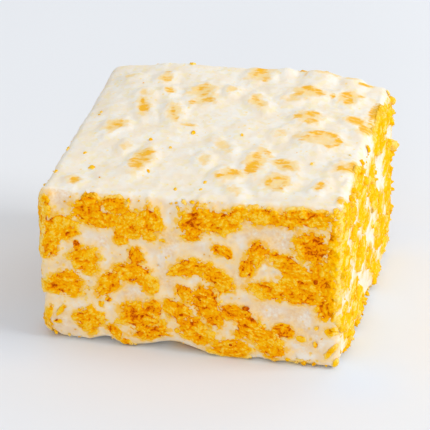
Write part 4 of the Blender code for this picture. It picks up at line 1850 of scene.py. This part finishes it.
@dataclass(frozen=True)
class CerealFinish:
    """Crunchy corn cereal: golden, with hollows painted dark, partly toasting and partly painted
    shade, tips painted pale, partly painted highlight, and pale, sticky edges.

    ramp goes from the colour of the deepest hollows to that of the highest tips, so it carries
    the painted shade and painted highlight as well as the toasted tone.
    """

    name: str = "cereal"
    ramp: tuple[tuple[float, Colour], ...] = (
        (0.0, (0.48, 0.07, 0.0)),
        (0.19, (0.80, 0.185, 0.0)),
        (0.4, (0.92, 0.31, 0.0)),
        (0.66, (0.955, 0.42, 0.0)),
        (0.9, (0.965, 0.54, 0.008)),
        (1.0, (0.96, 0.60, 0.07)),
    )
    # Painted light: the yellower colour laid on cereal where it faces the lamps.
    lit_yellow: Colour = (0.95, 0.62, 0.0)
    lit_yellow_most: float = 0.45
    film: Tint = Tint((0.96, 0.54, 0.008), 0.2, 0.9, 0.75)
    pale_film: Tint = Tint((0.965, 0.73, 0.23), 0.7, 1.15, 0.85)
    film_on_tips: float = 0.5
    film_less: float = -0.35
    grain_size: float = 0.0004
    grain_depth: float = 0.5
    mottle: float = 0.3
    tone: float = 0.34
    darker: float = -0.33
    bump_strength: float = 0.4
    bump_height: float = 0.0002
    roughness: float = 0.7
    specular: float = 0.02

    def material(self, effects: Effects) -> Material:
        """Builds the material.

        Args:
            effects: The shared node groups.

        Returns:
            The material.
        """
        made, board, shader = Board.of_material(self.name)
        grain = effects.place(board, effects.grain, size=self.grain_size, depth=self.grain_depth)
        level = board.sum("MULTIPLY_ADD", grain.outputs["Mottle"], self.mottle, self.darker)
        level = board.sum("MULTIPLY_ADD", grain.outputs["Tone"], self.tone, level)
        level = board.sum("ADD", board.attribute("relief"), level)
        # Painted light: yellower where the mesh says the cereal faces the lamps.
        share = board.sum("MULTIPLY", board.attribute("lit_yellow"), self.lit_yellow_most)
        colour = board.blend(share, self.toasted(board, level), self.lit_yellow)
        # More film is laid on high tips than in hollows, which adds to the painted highlight there.
        smear = board.sum("MULTIPLY_ADD", level, self.film_on_tips, self.film_less)
        smear = board.sum("ADD", board.attribute("film"), smear)
        colour = board.tint(smear, colour, self.film)
        colour = board.tint(smear, colour, self.pale_film)
        board.feed(shader.inputs["Base Color"], colour)
        board.feed(shader.inputs["Roughness"], self.roughness)
        board.feed(shader.inputs["Specular IOR Level"], self.specular)
        board.bump(shader, grain.outputs["Height"], self.bump_strength, self.bump_height)
        return made

    def toasted(self, board: Board, level: Socket) -> Socket:
        """The cereal's colour by level: its own toasted tone, darker in hollows as painted shade and
        paler on tips as painted highlight.

        Args:
            board: The material's board.
            level: The output that goes from 0 in a hollow to 1 on a tip.

        Returns:
            The output that carries the colour.
        """
        made = board.node("ValToRGB")
        elements = made.color_ramp.elements
        while len(elements) < len(self.ramp):
            elements.new(0.5)
        for element, (place, colour) in zip(elements, self.ramp):
            element.position = place
            element.color = (*colour, 1.0)
        board.feed(made.inputs["Fac"], level)
        return made.outputs["Color"]


@dataclass(frozen=True)
class MarshmallowFinish:
    """Set marshmallow: cream, soft and slightly see-through.

    cream, warm and blot are for the smooth top, and cut_cream and cut_shade for the cut sides.
    near_glow and glow are cereal that shines through beside a nugget, veil a nugget deep under
    the top's film, haze and core one close under it, and dust, speck and crumb fine crumbs.
    """

    name: str = "marshmallow"
    cream: Colour = (0.90, 0.84, 0.742)
    warm: Colour = (0.895, 0.77, 0.60)
    blot: Tint = Tint((0.91, 0.77, 0.42), 0.6, 1.0, 0.5)
    cut_cream: Colour = (0.885, 0.815, 0.715)
    cut_shade: Colour = (0.83, 0.64, 0.43)
    near_glow: Tint = Tint((0.94, 0.67, 0.31), 0.1, 0.8, 0.85)
    glow: Tint = Tint((0.98, 0.52, 0.03), 0.74, 1.1, 0.95)
    veil: Tint = Tint((0.955, 0.66, 0.26), 0.1, 1.0, 0.85)
    haze: Tint = Tint((0.955, 0.66, 0.26), 0.02, 0.8, 0.9)
    core: Tint = Tint((0.95, 0.47, 0.006), 0.22, 0.88)
    glow_fray: float = 0.5
    veil_gain: float = 1.3
    haze_fray: float = 0.3
    core_least: float = 0.08
    core_grain: float = 0.4
    core_fray: float = 0.35
    dust: Colour = (0.80, 0.50, 0.22)
    dust_most: float = 0.55
    speck: Colour = (1.0, 0.72, 0.20)
    speck_most: float = 0.7
    crumb: Colour = (0.97, 0.60, 0.06)
    crumb_most: float = 0.8
    roughness: tuple[float, float] = (0.5, 0.62)
    bump_strength: float = 0.3
    bump_height: float = 0.0002
    subsurface: float = 0.45
    subsurface_radius: tuple[float, float, float] = (1.0, 0.9, 0.7)
    subsurface_scale: float = 0.0008
    specular: float = 0.3

    def material(self, effects: Effects) -> Material:
        """Builds the material.

        Args:
            effects: The shared node groups.

        Returns:
            The material.
        """
        made, board, shader = Board.of_material(self.name)
        mottle = effects.place(board, effects.mottle, size=0.0045, speck_size=0.0014, speck_share=0.16)
        blots = effects.place(board, effects.mottle, size=0.0019, speck_size=0.0018, speck_share=0.3)
        grain = effects.place(board, effects.grain, size=0.0006, depth=0.3)
        fray = effects.place(board, effects.grain, size=0.0014, depth=0.3)
        streaks = effects.place(board, effects.streaks, length=0.0036, pitch=0.00095)
        edge = fray.outputs["Mottle"]

        even = board.blend(mottle.outputs["Cloud"], self.cream, self.warm)
        even = board.tint(blots.outputs["Cloud"], even, self.blot)
        cut = board.blend(mottle.outputs["Cloud"], self.cut_cream, self.cut_shade)
        colour = board.blend(board.attribute("cut"), even, cut)

        wander = board.sum("MULTIPLY_ADD", edge, self.glow_fray, -self.glow_fray / 2)
        near = board.sum("ADD", wander, board.attribute("glow"))
        colour = board.tint(near, colour, self.near_glow)
        colour = board.tint(near, colour, self.glow)
        veil = board.sum("MULTIPLY_ADD", board.attribute("veil"), self.veil_gain, wander)
        colour = board.tint(veil, colour, self.veil)

        core = board.attribute("core")
        soft = board.sum("MULTIPLY_ADD", edge, self.haze_fray, -self.haze_fray / 2)
        colour = board.tint(board.sum("ADD", core, soft), colour, self.haze)
        bare = board.sum("ADD", streaks.outputs["Streak"], self.core_least)
        bare = board.sum("MULTIPLY_ADD", grain.outputs["Mottle"], self.core_grain, bare)
        bare = board.sum("MULTIPLY_ADD", edge, self.core_fray, bare)
        colour = board.tint(board.sum("MULTIPLY", core, bare), colour, self.core)

        dusty = board.sum("MULTIPLY", board.attribute("dust"), grain.outputs["Mottle"])
        colour = board.blend(board.sum("MULTIPLY", dusty, self.dust_most), colour, self.dust)
        specks = board.sum("MULTIPLY", mottle.outputs["Speck"], self.speck_most)
        colour = board.blend(specks, colour, self.speck)
        crumbs = board.sum("MULTIPLY", blots.outputs["Speck"], board.attribute("cut"))
        colour = board.blend(board.sum("MULTIPLY", crumbs, self.crumb_most), colour, self.crumb)

        board.feed(shader.inputs["Base Color"], colour)
        rough = board.fit(mottle.outputs["Cloud"], 0.0, 1.0, *self.roughness)
        board.feed(shader.inputs["Roughness"], rough)
        board.bump(shader, grain.outputs["Height"], self.bump_strength, self.bump_height)
        board.feed(shader.inputs["Subsurface Weight"], self.subsurface)
        board.feed(shader.inputs["Subsurface Radius"], self.subsurface_radius)
        board.feed(shader.inputs["Subsurface Scale"], self.subsurface_scale)
        board.feed(shader.inputs["Specular IOR Level"], self.specular)
        return made


@dataclass(frozen=True)
class FloorFinish:
    """The plain pale floor, a little cooler near the treat to balance the warm light off it.

    footprint is half the treat's width and depth, and cool_reach how far from it the floor is
    cooler. It is coolest beside the lit side, and beside and middle say where that fades.
    """

    name: str = "pale_floor"
    pale: Colour = (0.832, 0.84, 0.86)
    paler: Colour = (0.847, 0.855, 0.875)
    cool: Colour = (0.775, 0.85, 0.965)
    footprint: tuple[float, float] = (0.038, 0.035)
    cool_reach: float = 0.038
    cool_around: float = 0.45
    beside: tuple[float, float] = (0.03, 0.045)
    middle: tuple[float, float] = (0.02, 0.05)
    middle_offset: float = 0.01
    cloud_size: float = 0.3
    roughness: float = 0.9
    specular: float = 0.1

    def material(self, effects: Effects) -> Material:
        """Builds the material.

        Args:
            effects: The shared node groups.

        Returns:
            The material.
        """
        made, board, shader = Board.of_material(self.name)
        mottle = effects.place(board, effects.mottle, size=self.cloud_size, speck_share=0.0)
        colour = board.blend(mottle.outputs["Cloud"], self.pale, self.paler)
        board.feed(shader.inputs["Base Color"], board.blend(self.nearness(board), colour, self.cool))
        board.feed(shader.inputs["Roughness"], self.roughness)
        board.feed(shader.inputs["Specular IOR Level"], self.specular)
        return made

    def nearness(self, board: Board) -> Socket:
        """How near the treat a place on the floor is, where the floor is a little cooler.

        Args:
            board: The material's board.

        Returns:
            The output that carries the share, which is higher beside the lit cut side.
        """
        place = board.node("SeparateXYZ")
        board.feed(place.inputs[0], board.node("TexCoord").outputs["Object"])
        gaps = []
        for axis, half in zip("XY", self.footprint):
            gap = board.fit(board.sum("ABSOLUTE", place.outputs[axis]), half, half + self.cool_reach)
            gaps.append(board.sum("MULTIPLY", gap, gap))
        near = board.fit(board.sum("SQRT", board.sum("ADD", *gaps)), 0.0, 1.0, 1.0, 0.0)
        along = board.sum("ABSOLUTE", board.sum("ADD", place.outputs["Y"], self.middle_offset))
        beside = board.fit(place.outputs["X"], *self.beside)
        beside = board.sum("MULTIPLY", beside, board.fit(along, *self.middle, 1.0, 0.0))
        beside = board.sum("MULTIPLY_ADD", beside, 1.0 - self.cool_around, self.cool_around)
        return board.sum("MULTIPLY", board.sum("MULTIPLY", near, near), beside)


@dataclass(frozen=True)
class Lamp:
    """A large, soft, round light: its place and width in metres, its power in watts."""

    name: str
    place: Place
    size: float
    power: float
    colour: Colour

    def build(self, target: Place) -> None:
        """Hangs the light.

        Args:
            target: The place that it faces, in metres.
        """
        light = bpy.data.lights.new(self.name, "AREA")
        light.shape = "DISK"
        light.size = self.size
        light.energy = self.power
        light.color = self.colour
        lamp = bpy.data.objects.new(self.name, light)
        lamp.location = self.place
        lamp.rotation_euler = (Vector(target) - lamp.location).to_track_quat("-Z", "Y").to_euler()
        bpy.context.scene.collection.objects.link(lamp)


@dataclass(frozen=True)
class Studio:
    """The floor, the lights and the camera, which looks at target from azimuth and elevation.

    Lengths are in metres and angles in degrees. centre_pixel is where target shows in the frame.
    """

    floor_size: float = 8.0
    focal_pixels: float = 2500.0
    frame_pixels: float = 430.0
    sensor: float = 36.0
    nearest: float = 0.01
    azimuth: float = 13.4
    elevation: float = 26.0
    distance: float = 0.653
    target: Place = (0.0, 0.0, 0.022)
    centre_pixel: tuple[float, float] = (221.7, 216.4)
    sky: Colour = (0.93, 0.96, 1.0)
    sky_strength: float = 0.745
    lamps: tuple[Lamp, ...] = (
        Lamp("key", (1.1, -0.05, 0.85), 0.7, 8.0, (0.99, 1.0, 1.0)),
        Lamp("fill", (0.3, -3.0, 0.55), 1.0, 14.5, (1.0, 0.98, 0.95)),
        Lamp("side", (1.2, 0.12, 0.16), 0.5, 1.15, (1.0, 1.0, 1.0)),
        Lamp("back", (0.3, 0.55, 0.5), 0.4, 0.4, (1.0, 0.99, 0.95)),
    )

    def build(self, floor_finish: Material) -> None:
        """Makes the floor, the lights and the camera.

        Args:
            floor_finish: The floor's material.
        """
        self.build_floor(floor_finish)
        self.build_sky()
        for lamp in self.lamps:
            lamp.build(self.target)
        self.build_camera()
        bpy.context.scene.view_settings.view_transform = "Standard"

    def build_floor(self, finish: Material) -> None:
        """Lays the floor.

        Args:
            finish: Its material.
        """
        shape = bmesh.new()
        bmesh.ops.create_grid(shape, x_segments=8, y_segments=8, size=self.floor_size / 2)
        mesh = bpy.data.meshes.new("floor")
        shape.to_mesh(mesh)
        shape.free()
        mesh.materials.append(finish)
        floor = bpy.data.objects.new("floor", mesh)
        bpy.context.scene.collection.objects.link(floor)

    def build_sky(self) -> None:
        """Surrounds the scene with soft, even light."""
        world = bpy.data.worlds.new("soft_surround")
        world.use_nodes = True
        backdrop = world.node_tree.nodes["Background"]
        backdrop.inputs["Color"].default_value = (*self.sky, 1.0)
        backdrop.inputs["Strength"].default_value = self.sky_strength
        bpy.context.scene.world = world

    def build_camera(self) -> None:
        """Sets the camera at the photograph's angle."""
        lens = bpy.data.cameras.new("camera")
        lens.sensor_width = self.sensor
        lens.lens = self.focal_pixels / self.frame_pixels * self.sensor
        lens.clip_start = self.nearest
        camera = bpy.data.objects.new("camera", lens)
        turn, rise = math.radians(self.azimuth), math.radians(self.elevation)
        back = Vector((math.sin(turn) * math.cos(rise), -math.cos(turn) * math.cos(rise), math.sin(rise)))
        camera.location = Vector(self.target) + back * self.distance
        middle = self.frame_pixels / 2
        lens.shift_x = -(self.centre_pixel[0] - middle) / self.frame_pixels
        lens.shift_y = (self.centre_pixel[1] - middle) / self.frame_pixels
        camera.rotation_euler = (-back).to_track_quat("-Z", "Y").to_euler()
        bpy.context.scene.collection.objects.link(camera)
        bpy.context.scene.camera = camera


def build_cereal(form: BlockForm, layout: dict[Side, Nuggets], finish: Material) -> None:
    """Builds the cereal of every side.

    Args:
        form: The block's form.
        layout: The nuggets of each side.
        finish: The cereal's material.
    """
    cut = NuggetMaker(form)
    unseen = NuggetMaker(form, cell=0.34)
    sides = (
        CerealSide(Side.FRONT, layout[Side.FRONT], cut, flecks=FRONT_FLECKS, seed=1),
        CerealSide(
            Side.RIGHT,
            layout[Side.RIGHT],
            cut,
            # The right side's cereal is painted yellower and paler as lit by the key and side lamps: painted
            # light.
            look=CerealLook(lit_yellow=0.35, smear=1.0, bright=0.06, contrast=0.6),
            crumbs_each=7.0,
            crumb_sizes=(0.25, 1.0),
            uneven=0.3,
            seed=2,
        ),
        CerealSide(
            Side.TOP,
            TOP_FRAGMENTS,
            NuggetMaker(form, spread=1.1),
            proud=0.4,
            # The top's cereal is painted a little yellower and paler as lit from above: painted light.
            look=CerealLook(lit_yellow=0.2, bright=0.04),
            crumbs_each=0.0,
            seed=3,
        ),
        CerealSide(Side.LEFT, layout[Side.LEFT], unseen, seed=4),
        CerealSide(Side.BACK, layout[Side.BACK], unseen, seed=5),
        CerealSide(Side.BASE, layout[Side.BASE], unseen, proud=0.1, crumbs_each=0.0, seed=6),
    )
    for side in sides:
        side.build(finish)


def main() -> None:
    """Builds the treat and its studio."""
    logging.basicConfig(level=logging.INFO, format="%(name)s: %(message)s")
    form = BlockForm()
    effects = Effects()
    cereal_finish = CerealFinish().material(effects)
    marshmallow_finish = MarshmallowFinish().material(effects)

    layout = {
        Side.FRONT: FRONT_NUGGETS + FRONT_FRAGMENTS,
        Side.RIGHT: RIGHT_NUGGETS,
        Side.TOP: TOP_NUGGETS,
        Side.LEFT: SideScatter(form, Side.LEFT, 26, 11, headroom=3.4).nuggets(),
        Side.BACK: SideScatter(form, Side.BACK, 28, 23).nuggets(),
        Side.BASE: SideScatter(form, Side.BASE, 30, 37, spacing=0.9).nuggets(),
    }
    build_cereal(form, layout, cereal_finish)
    banks = {side: Bank() for side in Side}
    banks[Side.RIGHT] = Bank(glow=0.7, cut=0.0)
    banks[Side.TOP] = Bank(level=0.6, reach=2.4, sink=0.1, glow=0.8, cut=0.0)
    banks[Side.BASE] = Bank(level=0.1, reach=1.0, sink=0.4)
    dust = {Side.FRONT: FRONT_DUST}
    MarshmallowBlock(form, layout, TOP_STROKES, dust, banks).build(marshmallow_finish)
    crumbs = {Side.TOP: 50, Side.FRONT: 120, Side.RIGHT: 130, Side.LEFT: 70, Side.BACK: 70}
    LooseCrumbs(form, crumbs, RIM_RUNS).build(cereal_finish)

    Studio().build(FloorFinish().material(effects))


if __name__ == "__main__":
    main()
